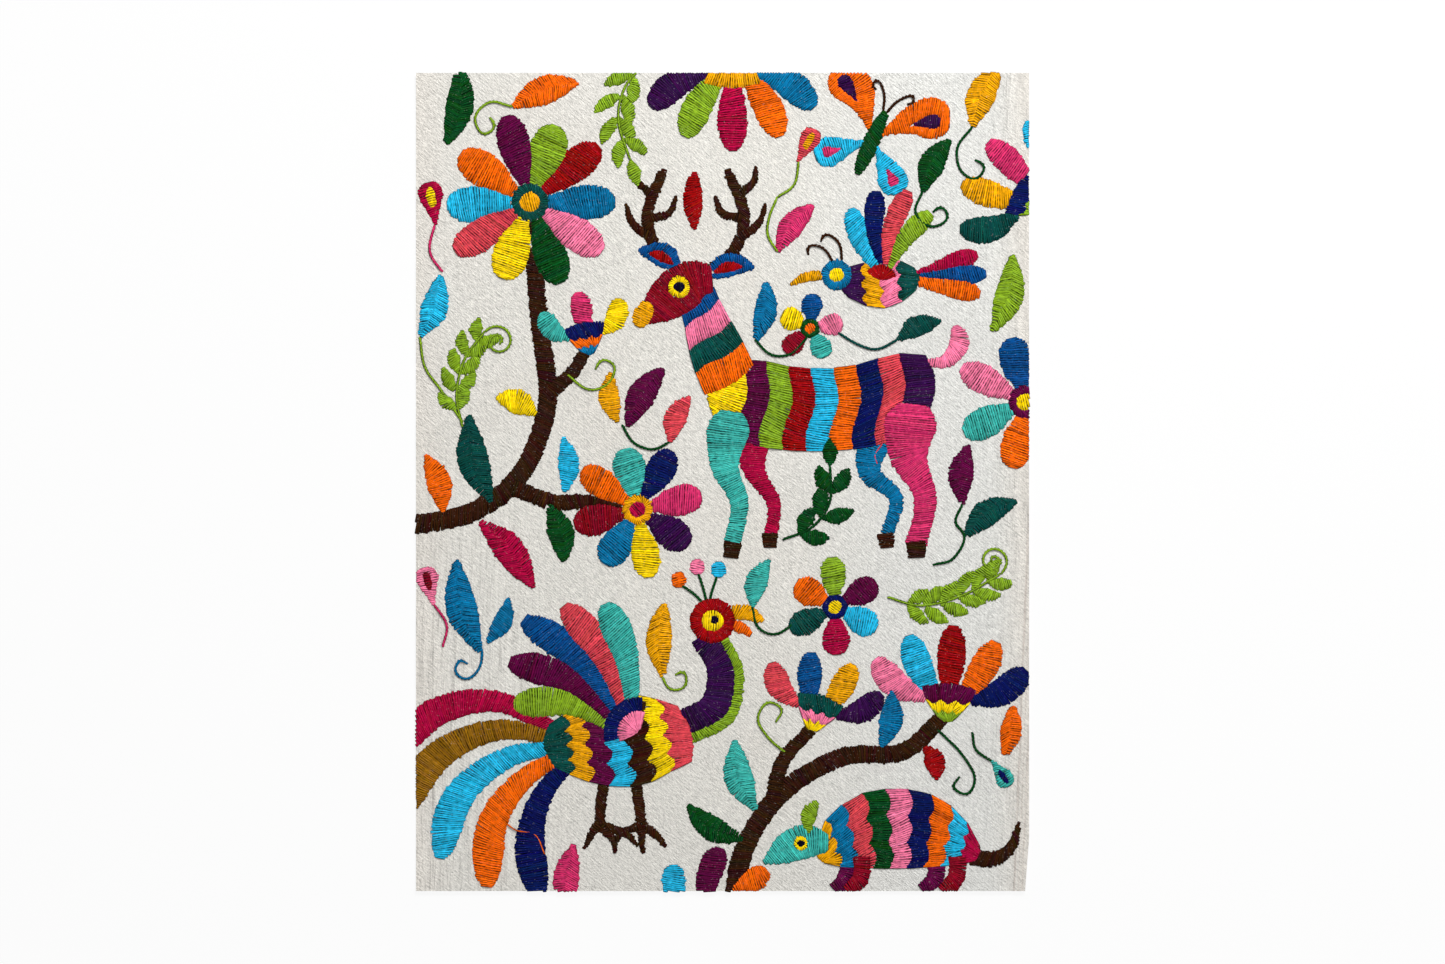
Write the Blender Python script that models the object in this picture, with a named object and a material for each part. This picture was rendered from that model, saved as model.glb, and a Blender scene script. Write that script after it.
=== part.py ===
"""Hand-embroidered cotton cloth lying flat: a thin sheet with a narrow hem and raised motifs.

Lengths are in millimetres until the solid is made, X to the right and Y up the cloth, from its middle.
"""
import math
from collections import namedtuple

import bmesh
import bpy
import numpy as np

NAME = "otomi_embroidered_cloth"
MM = 0.001

WIDTH = 245.2          # cut side to cut side
LENGTH = 327.2
EDGE_LEAN = 1.6        # how far the woven edge comes in at the lower right corner
EDGE_LEAN_FROM = 21.2  # height above the lower side at which it starts to lean
SHEET = 1.2            # cloth
STITCHES = 0.8         # embroidery above the cloth
HEM_RISE = 0.4         # turned hem above the cloth
HEM_WIDTH = 4.4
HEM_HEIGHT = 153.6     # the hem leaves the cut side at this height
BLEND = 0.25           # satin edges spread this far past a motif's outline
GRID = 0.6             # spacing at which the motifs are merged
STRAIGHT = 0.16        # an outline point nearer than this to its chord is left out
SMALLEST = 9.0         # square millimetres

SPINE_STEPS = 15

# Half-width along a shape from its root to its tip: (place, share of the full width)
FORMS = {
    "petal": ((0, .30), (.15, .52), (.35, .84), (.6, 1.0), (.8, .9), (.93, .62), (1, .26)),
    "leaf": ((0, .14), (.18, .58), (.42, 1.0), (.68, .86), (.88, .42), (1, .10)),
    "spear": ((0, .52), (.2, .88), (.4, 1.0), (.65, .84), (.85, .46), (1, .08)),
    "drop": ((0, .10), (.18, .26), (.42, .62), (.66, .96), (.82, 1.0), (.94, .76), (1, .34)),
    "oval": ((0, .30), (.08, .58), (.25, .9), (.5, 1.0), (.75, .9), (.92, .58), (1, .30)),
    "feather": ((0, .42), (.3, .66), (.65, .96), (.8, 1.0), (.93, .74), (1, .32)),
    "stem": ((0, 1.0), (.5, .94), (1, .8)),
    "beam": ((0, 1.0), (.5, .92), (.9, .8), (1, .42)),
    "taper": ((0, 1.0), (.4, .78), (.8, .42), (1, .12)),
    "leg": ((0, .55), (.07, .9), (.16, 1.0), (.34, .74), (.56, .47), (.85, .38), (1, .42)),
    "plume": ((0, .30), (.25, .62), (.55, .9), (.75, 1.0), (.9, .72), (1, .16)),
}

Stroke = namedtuple("Stroke", "spine width form")
Body = namedtuple("Body", "top bottom first_bulge last_bulge")
Ray = namedtuple("Ray", "angle start length width form bend")
Disc = namedtuple("Disc", "x y radius")

DEER = (
    Stroke(((27, -8), (27, -26), (19, -40), (20.5, -58.5)), 13, "leg"),
    Stroke(((-24, -8), (-20, -27), (-31, -38), (-27.5, -58.5)), 13, "leg"),
    Stroke(((-44, 17), (-52, 18), (-57, 25), (-55, 32)), 7.5, "plume"),
    Body(((-43, 20), (-32, 21), (-12, 15.5), (8, 15), (25, 18), (39, 17)),
         ((-41, -9), (-30, -15), (-12, -18.5), (8, -19), (28, -16.5), (41, -9)), -5, 6),
    Stroke(((36, -3), (39, -24), (33, -40), (36, -62.5)), 17, "leg"),
    Stroke(((-38, 0), (-36, -20), (-43, -38), (-39.5, -62.5)), 21, "leg"),
    Body(((27, 16), (34, 30), (41, 42), (45, 52)), ((47, 4), (52, 16), (54.5, 29), (57, 40)), -2, 1),
    Stroke(((46, 54), (35, 63), (31, 78), (38, 96)), 4.8, "beam"),
    Stroke(((32.8, 68), (25, 74), (22, 83)), 3.8, "taper"),
    Stroke(((31.8, 76), (40, 78), (43, 86)), 3.6, "taper"),
    Stroke(((33, 86), (27, 91), (26, 98)), 3.4, "taper"),
    Stroke(((55.5, 54), (66.5, 63), (70.5, 78), (63.5, 96)), 4.8, "beam"),
    Stroke(((68.7, 68), (76.5, 74), (79.5, 83)), 3.8, "taper"),
    Stroke(((69.7, 76), (61.5, 78), (58.5, 86)), 3.6, "taper"),
    Stroke(((68.5, 86), (74.5, 91), (75.5, 98)), 3.4, "taper"),
    Stroke(((47, 52), (37, 57), (27, 56)), 9.5, "leaf"),
    Stroke(((57, 54), (64, 61), (74, 63)), 9.5, "leaf"),
    Stroke(((44, 51), (52, 50), (62, 43), (73, 33)), 19, "spear"),
    Stroke(((69.5, 41.5), (72, 37), (74.4, 32)), 7.5, "oval"),
)

BIRD = (
    Stroke(((-24, 2), (-52, 16), (-80, 10), (-100, -12)), 12.4, "feather"),
    Stroke(((-25, 0), (-52, 4), (-78, -8), (-92, -32)), 12.4, "feather"),
    Stroke(((-25, -3), (-48, -8), (-68, -24), (-76, -50)), 12.8, "feather"),
    Stroke(((-24, -6), (-42, -18), (-54, -36), (-56, -62)), 12.8, "feather"),
    Stroke(((-20, -8), (-33, -24), (-38, -44), (-34, -66)), 12.4, "feather"),
    Stroke(((6, -14), (8, -27), (9, -38)), 4.4, "stem"),
    Stroke(((9, -36), (15, -40), (20, -46)), 4.0, "taper"),
    Stroke(((9, -36), (9, -42), (10, -49)), 3.8, "taper"),
    Stroke(((-6, -14), (-8, -27), (-9, -38)), 4.4, "stem"),
    Stroke(((-9, -36), (-3, -42), (-2, -49)), 3.8, "taper"),
    Stroke(((-9, -36), (-12, -40), (-15, -46)), 3.8, "taper"),
    Body(((-30, 6), (-12, 15), (8, 19), (24, 14)), ((-28, -11), (-10, -18), (10, -19), (30, -9)), -3, 3),
    Stroke(((26, 6), (41, 12), (45, 30), (37, 46)), 17, "stem"),
    Stroke(((45, 53), (53, 53.5), (61, 49.5)), 6.2, "spear"),
    Stroke(((45, 49), (51, 47), (56, 43.5)), 4.4, "spear"),
    Disc(39, 50, 9.4),
    Disc(24.7, 67.3, 3.0),
    Disc(32.5, 72.7, 3.0),
    Disc(41.5, 71.6, 3.0),
)
BIRD_WING = (
    Ray(168, 10, 44, 12.4, "feather", -6),
    Ray(152, 10, 52, 12.4, "feather", -6),
    Ray(136, 10, 58, 12.4, "feather", -5),
    Ray(121, 10, 52, 12.4, "feather", -4),
    Ray(105, 10, 46, 12.4, "feather", -3),
)

ARMADILLO = (
    Stroke(((40, -12), (52, -13), (61, -7), (65, 6)), 8.5, "taper"),
    Stroke(((-22, -14), (-24, -23), (-30, -29)), 8.5, "stem"),
    Stroke(((22, -14), (22, -23), (15, -29)), 8.5, "stem"),
    Body(((-38, -4), (-32, 9), (-16, 20), (2, 23), (20, 20), (36, 9), (44, -6)),
         ((-34, -15), (-26, -16.5), (-14, -17.5), (2, -18), (18, -17.5), (32, -16.5), (42, -14)), -3, 2),
    Stroke(((-16, -12), (-16, -22), (-23, -30)), 9, "stem"),
    Stroke(((33, -12), (33, -22), (26, -30)), 9, "stem"),
    Stroke(((-33, -5), (-48, -5), (-66, -15)), 17, "spear"),
    Stroke(((-43, 0), (-43, 9), (-38, 17)), 7.5, "leaf"),
)

SONGBIRD = (
    Body(((-12, 4), (-3, 9), (8, 9.5), (17, 8)), ((-11, -5), (-2, -10), (8, -10), (17, -4)), -2, 4),
    Stroke(((25, 6), (33, 7), (42, 4.5)), 4.0, "spear"),
    Disc(21, 6, 6.4),
)
SONGBIRD_TAIL = (
    Ray(168, 1, 30, 8, "feather", 0),
    Ray(184, 1, 32, 8, "feather", 0),
    Ray(200, 1, 30, 8, "feather", 0),
)
SONGBIRD_WING = (
    Ray(136, 0.6, 34.4, 8.4, "feather", -2),
    Ray(116, 0.6, 38.4, 8.4, "feather", -2),
    Ray(96, 0.6, 36.4, 8.4, "feather", -2),
    Ray(76, 0.6, 31.4, 8.4, "feather", -2),
)

BUTTERFLY = (
    Stroke(((-2, 3), (-13, 15), (-26, 21)), 17, "drop"),
    Stroke(((-2, -2), (-11, -9), (-19, -16)), 12, "drop"),
    Stroke(((2, 3), (13, 15), (26, 21)), 17, "drop"),
    Stroke(((2, -2), (11, -9), (19, -16)), 12, "drop"),
    Stroke(((0, 13), (0, 0), (0, -16)), 6.5, "oval"),
)

POD = (
    Stroke(((0, 19), (-0.3, 27.5), (-0.6, 36)), 9.5, "drop"),
)

BRANCHES = (
    Stroke(((-128, -18), (-100, -12), (-80, 4), (-70, 32), (-73, 62), (-77, 104)), 7.6, "stem"),
    Stroke(((-84, -2), (-68, -8), (-54, -8), (-40, -12)), 6.2, "stem"),
    Stroke(((-70.5, 34), (-60, 44), (-54, 54)), 5.4, "stem"),
    Stroke(((4, -170), (9, -146), (24, -124), (48, -110), (72, -108), (88, -94)), 7.6, "stem"),
    Stroke(((20, -128), (24, -112), (36, -98)), 5.8, "stem"),
)

Leaf = namedtuple("Leaf", "x y angle start length width form bend")
LEAVES = (
    Leaf(-92, -10, 104, 2, 36, 12, "leaf", 3),
    Leaf(-70, -7, -76, 2, 24, 10, "leaf", 2),
    Leaf(-63, -7, 92, 3, 22, 8, "leaf", -2),
    Leaf(10, -144, 148, 2, 26, 9.5, "leaf", 3),
    Leaf(63, -109, 80, 3, 23, 9, "leaf", -2),
    Leaf(-97, -68, 104, 0, 38, 12, "leaf", 3),
    Leaf(-95, -66, 64, 2, 20, 7, "leaf", -2),
    Leaf(-105, 168, -100, 0, 34, 10.5, "leaf", 3),
    Leaf(-111, -14, 108, 2, 24, 9.5, "leaf", -2),
    Leaf(-38, 22, 58, 0, 28, 10.5, "leaf", 2),
    Leaf(-42, 24, 98, 0, 20, 8, "leaf", 2),
    Leaf(108, 60, 76, 0, 32, 11, "leaf", -3),
    Leaf(97, -22, 34, 0, 25, 10, "leaf", 3),
    Leaf(-11, 101, 90, 0, 24, 7.5, "leaf", 1),
    Leaf(100, 142, 66, 0, 27, 11, "leaf", 2),
    Leaf(-98, -14, -52, 2, 34, 11.5, "leaf", 2),
    Leaf(14, -134, 106, 3, 29, 11, "leaf", 3),
    Leaf(-84, 150, 20, 0, 28, 11, "leaf", 2),
    Leaf(-121, 58, 72, 0, 26, 10, "leaf", -2),
    Leaf(13, 56, 80, 0, 25, 8.5, "leaf", -2),
    Leaf(22, 92, 52, 0, 24, 9, "leaf", 2),
    Leaf(-72, 26, 158, 3, 17, 9.5, "leaf", -2),
    Leaf(96, -9, 84, 0, 24, 9.5, "leaf", 2),
    Leaf(113, -110, 82, 0, 21, 8, "leaf", -1),
    Leaf(80, -103, -72, 3, 14, 8, "leaf", 2),
    Leaf(-24, -78, 88, 0, 30, 10, "leaf", 2),
    Leaf(12, -50, 70, 0, 20, 8.5, "leaf", 2),
    Leaf(-62, -172, 84, 0, 27, 10, "leaf", 2),
    Leaf(-21, 16, 66, 0, 20, 8.5, "leaf", 2),
    Leaf(80, 116, 62, 0, 24, 9.5, "leaf", 2),
    Leaf(70, 57, 22, 0, 19, 8, "leaf", 2),
    Leaf(-6, -176, 80, 0, 30, 10, "feather", 3),
    Leaf(2, -176, 52, 0, 26, 9, "feather", 3),
    Leaf(-12, -176, 108, 0, 24, 9, "feather", 3),
)

Flower = namedtuple("Flower", "x y turn petals start length width heart")
FLOWERS = (
    Flower(-77, 112, 0, 10, 7, 27, 13.5, 7.5),
    Flower(-34, -11, 12, 8, 5.5, 20.5, 12, 6),
    Flower(121, 32, 0, 7, 5, 22.5, 12, 6.5),
    Flower(45, -50, 30, 6, 4, 15, 10.5, 5),
    Flower(35, 61.5, 10, 5, 3, 10, 8.5, 3.8),
)

Blossom = namedtuple("Blossom", "x y turn scale petals length width spread")
BLOSSOMS = (
    Blossom(90, -91, -4, 1, 5, 29, 11, 56),
    Blossom(-54, 55, 10, .86, 3, 20, 9.5, 36),
    Blossom(37, -95, -16, .95, 4, 24, 10, 48),
    Blossom(4, 168, 180, 1, 5, 31, 11.5, 58),
    Blossom(126, 112, 58, 1, 4, 27, 10.5, 46),
)

Sprig = namedtuple("Sprig", "x y turn spine leaves length width curled")
SPRIGS = (
    Sprig(-104, 22, 62, ((0, 0), (10, 8), (24, 12), (38, 10)), 5, 11, 4.8, True),
    Sprig(66, -46, -6, ((0, 0), (14, -2), (30, 4), (44, 14)), 6, 12, 5.0, True),
    Sprig(24, -23, -16, ((0, 0), (10, 8), (14, 20), (10, 34)), 4, 13, 6.0, False),
    Sprig(-30, 168, 176, ((0, 0), (8, 10), (10, 24), (4, 40)), 5, 13, 5.0, False),
)

Placed = namedtuple("Placed", "parts x y turn scale flip")
ANIMALS = (
    Placed(DEER, 39, 31, 0, .98, True),
    Placed(BIRD, -41, -103, 0, .95, False),
    Placed(ARMADILLO, 68, -140.5, 0, .78, False),
    Placed(BUTTERFLY, 60, 137, -24, .95, False),
    Placed(SONGBIRD, 66, 80, 8, .94, True),
    Placed(POD, -112, -66, 12, .9, False),
    Placed(POD, -112, 84, 8, 1, False),
    Placed(POD, 100, -100, -146, .72, False),
    Placed(POD, 22, 114, -30, .85, False),
)


def through(points, count):
    """count points, evenly spaced, on a smooth curve through the given ones."""
    p = np.array(points, float)
    if len(p) == 2:
        t = np.linspace(0, 1, count)[:, None]
        return p[0] * (1 - t) + p[1] * t
    ends = np.vstack([2 * p[0] - p[1], p, 2 * p[-1] - p[-2]])
    t = np.linspace(0, 1, 24, endpoint=False)[:, None]
    fine = []
    for a, b, c, d in zip(ends, ends[1:], ends[2:], ends[3:]):
        fine.append(0.5 * (2 * b + (c - a) * t + (2 * a - 5 * b + 4 * c - d) * t**2
                           + (3 * b - a - 3 * c + d) * t**3))
    fine = np.vstack([*fine, p[-1:]])
    along = np.concatenate([[0], np.cumsum(np.hypot(*np.diff(fine, axis=0).T))])
    at = np.linspace(0, along[-1], count)
    return np.stack([np.interp(at, along, fine[:, k]) for k in (0, 1)], axis=1)


def ribbon(spine_points, width, form):
    """The outline of a shape that follows a spine with the half-widths of its form."""
    spine = through(spine_points, SPINE_STEPS)
    widths = through(FORMS[form], 80)
    half = np.interp(np.linspace(0, 1, SPINE_STEPS), widths[:, 0], widths[:, 1]) * width / 2
    step = np.gradient(spine, axis=0)
    normal = np.stack([-step[:, 1], step[:, 0]], axis=1) / np.hypot(*step.T)[:, None]
    offset = normal * half[:, None]
    return np.vstack([spine + offset, (spine - offset)[::-1]])


def ray(x, y, angle, start, length, width, form, bend):
    """A petal, leaf or feather that points away from (x, y)."""
    a = math.radians(angle)
    ahead = np.array([math.cos(a), math.sin(a)])
    aside = np.array([-math.sin(a), math.cos(a)])
    spine = [np.array([x, y]) + ahead * (start + length * u) + aside * b
             for u, b in ((0, 0), (.5, bend), (1, bend * .1))]
    return ribbon(spine, width, form)


def disc(x, y, radius):
    """A round outline."""
    a = np.linspace(0, 2 * math.pi, 20, endpoint=False)
    return np.stack([x + radius * np.cos(a), y + radius * np.sin(a)], axis=1)


def body(top, bottom, first_bulge, last_bulge):
    """The outline between a body's upper and lower contours, with rounded ends."""
    upper, lower = through(top, 2 * SPINE_STEPS), through(bottom, 2 * SPINE_STEPS)
    ends = []
    for k, inner, bulge in ((0, 1, first_bulge), (-1, -2, last_bulge)):
        run = (upper[k] - upper[inner] + lower[k] - lower[inner]) * (-1 if k == 0 else 1)
        run = run / np.hypot(*run)
        t = np.linspace(0, 1, 8)[1:-1, None]
        ends.append(upper[k] * (1 - t) + lower[k] * t + run * bulge * np.sin(t * math.pi))
    return np.vstack([upper, ends[1], lower[::-1], ends[0][::-1]])


def outline(part):
    """The outline of one row of a motif's table."""
    if isinstance(part, Stroke):
        return ribbon(part.spine, part.width, part.form)
    if isinstance(part, Body):
        return body(*part)
    return disc(*part)


def placed(outlines, x, y, turn=0, scale=1, flip=False):
    """Outlines drawn round the origin, moved to their place on the cloth."""
    a = math.radians(turn)
    matrix = np.array([[math.cos(a), -math.sin(a)], [math.sin(a), math.cos(a)]]) * scale
    if flip:
        matrix = matrix @ np.array([[-1, 0], [0, 1]])
    return [points @ matrix.T + (x, y) for points in outlines]


def flower(row):
    """Petals of slightly uneven size round a heart."""
    shapes = [disc(0, 0, row.heart)]
    for k in range(row.petals):
        wobble = math.sin(k * 2.4) * .07
        angle = 360 * k / row.petals + 3 * math.sin(k * 1.7)
        shapes.append(ray(0, 0, angle, row.start, row.length * (1 + wobble), row.width * (1 - wobble), "petal", 0))
    return placed(shapes, row.x, row.y, row.turn)


def blossom(row):
    """A half-open flower on a cup, drawn upwards."""
    h = row.width * .95
    shapes = [body([(-h * 1.05, 8.5), (-h * .8, 2), (-h * .25, -4)], [(h * 1.05, 8.5), (h * .8, 2), (h * .25, -4)],
                   -2.0, .8)]
    for k in range(row.petals):
        u = 2 * k / (row.petals - 1) - 1
        shapes.append(ray(u * row.width * .7, 3, 90 - u * row.spread, 1.5, row.length * (1 - .12 * abs(u)),
                          row.width, "petal", -u * 3))
    return placed(shapes, row.x, row.y, row.turn, row.scale)


def sprig(row):
    """Paired leaflets along a curve; their thin stem is too slight to raise."""
    path = through(row.spine, 60)
    shapes = []
    for k in range(row.leaves):
        u = .18 + .82 * k / (row.leaves - 1) * (.84 if row.curled else 1)
        i = min(58, int(u * 59))
        step = path[i + 1] - path[i]
        way = math.degrees(math.atan2(step[1], step[0]))
        length = row.length * (1 - .35 * abs(u - .45))
        if k == row.leaves - 1 and not row.curled:
            shapes.append(ray(*path[i], way, .6, length, row.width, "leaf", 0))
            continue
        for hand in (1, -1):
            turn = way + hand * (32 + 6 * math.sin(k * 2.1 + hand))
            shapes.append(ray(*path[i], turn, .6, length, row.width, "leaf", hand * .8))
    return placed(shapes, row.x, row.y, row.turn)


def hem():
    """The hem strip, drawn past the cloth's edge."""
    low, right = -LENGTH / 2, WIDTH / 2
    foot = right - EDGE_LEAN - HEM_WIDTH
    return np.array([(foot, low - 9), (right + 9, low - 9), (right + 9, low + HEM_HEIGHT),
                     (right, low + HEM_HEIGHT), (foot, low)])


def motifs():
    """Every raised outline on the cloth."""
    shapes = [hem()]
    shapes += [outline(row) for row in BRANCHES]
    shapes += [ray(*row) for row in LEAVES]
    for rows, make in ((FLOWERS, flower), (BLOSSOMS, blossom), (SPRIGS, sprig)):
        for row in rows:
            shapes += make(row)
    for row in ANIMALS:
        drawn = [outline(part) for part in row.parts]
        if row.parts is BIRD:
            drawn += [ray(8, 3, *feather) for feather in BIRD_WING]
        if row.parts is SONGBIRD:
            drawn += [ray(-9, 0, *feather) for feather in SONGBIRD_TAIL]
            drawn += [ray(3, 2, *feather) for feather in SONGBIRD_WING]
        shapes += placed(drawn, row.x, row.y, row.turn, row.scale, row.flip)
    return shapes


def depth_inside(px, py, points):
    """Distance from each grid point to an outline, positive inside it."""
    nearest = np.full(px.shape, np.inf)
    inside = np.zeros(px.shape, bool)
    for (ax, ay), (bx, by) in zip(points, np.roll(points, -1, axis=0)):
        dx, dy = bx - ax, by - ay
        t = np.clip(((px - ax) * dx + (py - ay) * dy) / (dx * dx + dy * dy + 1e-12), 0, 1)
        nearest = np.minimum(nearest, np.hypot(px - ax - t * dx, py - ay - t * dy))
        crosses = (ay > py) != (by > py)
        inside ^= crosses & (px < ax + dx * (py - ay) / (dy + (dy == 0)))
    return np.where(inside, nearest, -nearest)


def merged(shapes):
    """Heights of a field that is positive wherever a motif covers the cloth, with its two axes."""
    margin = 4.2
    xs = np.arange(-WIDTH / 2 - margin, WIDTH / 2 + margin, GRID)
    ys = np.arange(-LENGTH / 2 - margin, LENGTH / 2 + margin, GRID)
    field = np.full((len(ys), len(xs)), -3.0)
    for points in shapes:
        (x0, y0), (x1, y1) = points.min(axis=0) - 2, points.max(axis=0) + 2
        i = slice(*np.searchsorted(xs, (x0, x1)))
        j = slice(*np.searchsorted(ys, (y0, y1)))
        if xs[i].size and ys[j].size:
            px, py = np.meshgrid(xs[i], ys[j])
            field[j, i] = np.maximum(field[j, i], depth_inside(px, py, points))
    field += BLEND
    field[[0, -1], :] = field[:, [0, -1]] = -1.0
    return field + 1e-7, xs, ys


def contours(field, xs, ys):
    """Closed loops along the field's zero line."""
    up = field > 0
    links = {}

    def crossing(j, i, dj, di):
        a, b = field[j, i], field[j + dj, i + di]
        t = a / (a - b)
        return xs[i] + t * di * GRID, ys[j] + t * dj * GRID

    corners = up[:-1, :-1] * 1 + up[:-1, 1:] * 2 + up[1:, 1:] * 4 + up[1:, :-1] * 8
    runs = {1: "LB", 2: "BR", 3: "LR", 4: "RT", 6: "BT", 7: "LT", 8: "TL", 9: "TB", 11: "TR", 12: "RL",
            13: "RB", 14: "BL", 5: "LBRT", 10: "BRTL"}
    where = {"B": (0, 0, 0, 1), "T": (1, 0, 0, 1), "L": (0, 0, 1, 0), "R": (0, 1, 1, 0)}
    for j, i in zip(*np.nonzero((corners > 0) & (corners < 15))):
        run = runs[int(corners[j, i])]
        for start, end in zip(run[::2], run[1::2]):
            keys = [(j + where[side][0], i + where[side][1], *where[side][2:]) for side in (start, end)]
            links[keys[0]] = keys[1]
    loops = []
    while links:
        first, key = links.popitem()
        loop = [first]
        while key != first:
            loop.append(key)
            key = links.pop(key)
        loops.append(np.array([crossing(*k) for k in loop]))
    return loops


def simplified(points):
    """The points of an open run that stand off the chords between their neighbours."""
    a, b = points[0], points[-1]
    chord = b - a
    length = np.hypot(*chord)
    off = points - a
    if length > 1e-9:
        stand = np.abs(off[:, 0] * chord[1] - off[:, 1] * chord[0]) / length
    else:
        stand = np.hypot(*off.T)
    k = int(stand.argmax())
    if stand[k] < STRAIGHT or len(points) < 3:
        return [a]
    return simplified(points[:k + 1]) + simplified(points[k:])


def raised_outlines():
    """The merged motifs' outlines, without specks or needless points."""
    kept = []
    for loop in contours(*merged(motifs())):
        x, y = loop.T
        area = abs(np.dot(x, np.roll(y, -1)) - np.dot(y, np.roll(x, -1))) / 2
        if area < SMALLEST:
            continue
        loop = np.roll(loop, -int(np.hypot(*(loop - loop.mean(axis=0)).T).argmax()), axis=0)
        half = int(np.hypot(*(loop - loop[0]).T).argmax())
        ring = np.vstack([loop, loop[:1]])
        kept.append(np.array(simplified(ring[:half + 1]) + simplified(ring[half:])))
    return kept


def prism(name, loops, low, high, collection):
    """A solid with the given flat outlines, standing between two heights."""
    curve = bpy.data.curves.new(name, "CURVE")
    curve.dimensions = "2D"
    curve.fill_mode = "BOTH"
    curve.extrude = (high - low) / 2 * MM
    for loop in loops:
        spline = curve.splines.new("POLY")
        spline.points.add(len(loop) - 1)
        for point, (x, y) in zip(spline.points, loop):
            point.co = (x * MM, y * MM, 0, 1)
        spline.use_cyclic_u = True
    drawn = bpy.data.objects.new(name, curve)
    collection.objects.link(drawn)
    graph = bpy.context.evaluated_depsgraph_get()
    mesh = bpy.data.meshes.new_from_object(drawn.evaluated_get(graph), depsgraph=graph)
    mesh.name = name
    bpy.data.objects.remove(drawn)
    work = bmesh.new()
    work.from_mesh(mesh)
    bmesh.ops.remove_doubles(work, verts=work.verts, dist=1e-6)
    bmesh.ops.translate(work, verts=work.verts, vec=(0, 0, (low + high) / 2 * MM))
    bmesh.ops.recalc_face_normals(work, faces=work.faces)
    work.to_mesh(mesh)
    work.free()
    solid = bpy.data.objects.new(name, mesh)
    collection.objects.link(solid)
    return solid


def cut(target, tool):
    """Takes a tool's solid out of the target."""
    modifier = target.modifiers.new(tool.name, "BOOLEAN")
    modifier.operation = "DIFFERENCE"
    modifier.solver = "EXACT"
    modifier.object = tool
    graph = bpy.context.evaluated_depsgraph_get()
    mesh = bpy.data.meshes.new_from_object(target.evaluated_get(graph), depsgraph=graph)
    target.modifiers.clear()
    old, target.data = target.data, mesh
    bpy.data.meshes.remove(old)
    mesh.name = target.name
    tool.hide_render = True
    tool.display_type = "WIRE"


def cotton():
    """Off-white cotton."""
    material = bpy.data.materials.new("cotton")
    material.use_nodes = True
    shader = material.node_tree.nodes["Principled BSDF"]
    shader.inputs["Base Color"].default_value = (0.76, 0.73, 0.67, 1)
    shader.inputs["Roughness"].default_value = 0.9
    return material


def build():
    """Makes the cloth: a block with the sheet's outline, lowered wherever no motif or hem lies."""
    for item in list(bpy.data.objects):
        bpy.data.objects.remove(item)
    part = bpy.data.collections.new(NAME)
    helpers = bpy.data.collections.new("helpers")
    for collection in (part, helpers):
        bpy.context.scene.collection.children.link(collection)

    left, right, low, high = -WIDTH / 2, WIDTH / 2, -LENGTH / 2, LENGTH / 2
    sheet = [(left, low), (right - EDGE_LEAN, low), (right, low + EDGE_LEAN_FROM), (right, high), (left, high)]
    cloth = prism("cloth", [sheet], 0, SHEET + STITCHES, part)

    over = 9
    frame = [(left - over, low - over), (right + over, low - over), (right + over, high + over),
             (left - over, high + over)]
    cut(cloth, prism("ground", [frame, *raised_outlines()], SHEET, SHEET + STITCHES + 2, helpers))
    strip = hem()
    strip[[0, 3, 4], 0] -= .8
    cut(cloth, prism("hem_top", [strip], SHEET + HEM_RISE, SHEET + STITCHES + 3, helpers))
    cloth.data.materials.clear()
    cloth.data.materials.append(cotton())


build()
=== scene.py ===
"""Looks of a flat hand-embroidered cotton cloth: the woven sheet, its hem, and every laid stitch.

Drawing is done in millimetres from the middle of the cloth, X to the right and Y up it.
Meshes are in metres.
"""
import logging
import math
from collections.abc import Sequence
from dataclasses import dataclass, field, replace
from enum import Enum
from typing import Any, NamedTuple

import bpy
import numpy as np
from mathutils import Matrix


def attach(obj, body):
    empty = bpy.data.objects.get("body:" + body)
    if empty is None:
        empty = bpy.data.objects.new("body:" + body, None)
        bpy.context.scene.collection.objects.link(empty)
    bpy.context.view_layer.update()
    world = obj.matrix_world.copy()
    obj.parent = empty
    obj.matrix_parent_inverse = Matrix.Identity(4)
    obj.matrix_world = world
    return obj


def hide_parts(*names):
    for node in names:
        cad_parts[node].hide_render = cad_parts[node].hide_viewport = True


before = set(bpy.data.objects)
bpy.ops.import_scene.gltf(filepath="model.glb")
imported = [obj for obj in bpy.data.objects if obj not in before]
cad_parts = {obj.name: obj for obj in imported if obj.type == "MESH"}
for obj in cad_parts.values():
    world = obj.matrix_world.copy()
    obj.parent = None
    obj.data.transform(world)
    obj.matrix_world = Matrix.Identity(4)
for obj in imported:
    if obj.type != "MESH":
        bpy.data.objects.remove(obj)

Array = np.ndarray
Points = Sequence[tuple[float, float]]

log = logging.getLogger("embroidered_cloth")
MM = 0.001
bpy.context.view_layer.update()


# Thread colours and shape forms


class Dye(Enum):
    """The thread colours, as they look in even light (sRGB)."""

    PINK = (238, 119, 156)
    LIME = (127, 162, 36)
    AZURE = (1, 107, 154)
    PLUM = (90, 1, 59)
    OLIVE = (140, 96, 17)
    CORAL = (210, 67, 78)
    ORANGE = (235, 98, 1)
    NAVY = (1, 21, 85)
    RED = (149, 1, 10)
    YELLOW = (240, 204, 7)
    CYAN = (35, 175, 217)
    BROWN = (52, 25, 8)
    MINT = (59, 172, 162)
    VIOLET = (50, 14, 66)
    CRIMSON = (131, 1, 31)
    ROSE = (204, 48, 101)
    RASPBERRY = (167, 1, 59)
    TEAL = (1, 70, 64)
    FOREST = (1, 70, 26)
    GOLD = (225, 156, 1)
    BLUE = (1, 74, 137)
    INK = (2, 1, 34)

    def linear(self) -> Array:
        """The colour as linear light."""
        c = np.array(self.value) / 255
        return np.where(c <= 0.04045, c / 12.92, ((c + 0.055) / 1.055) ** 2.4)


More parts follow.
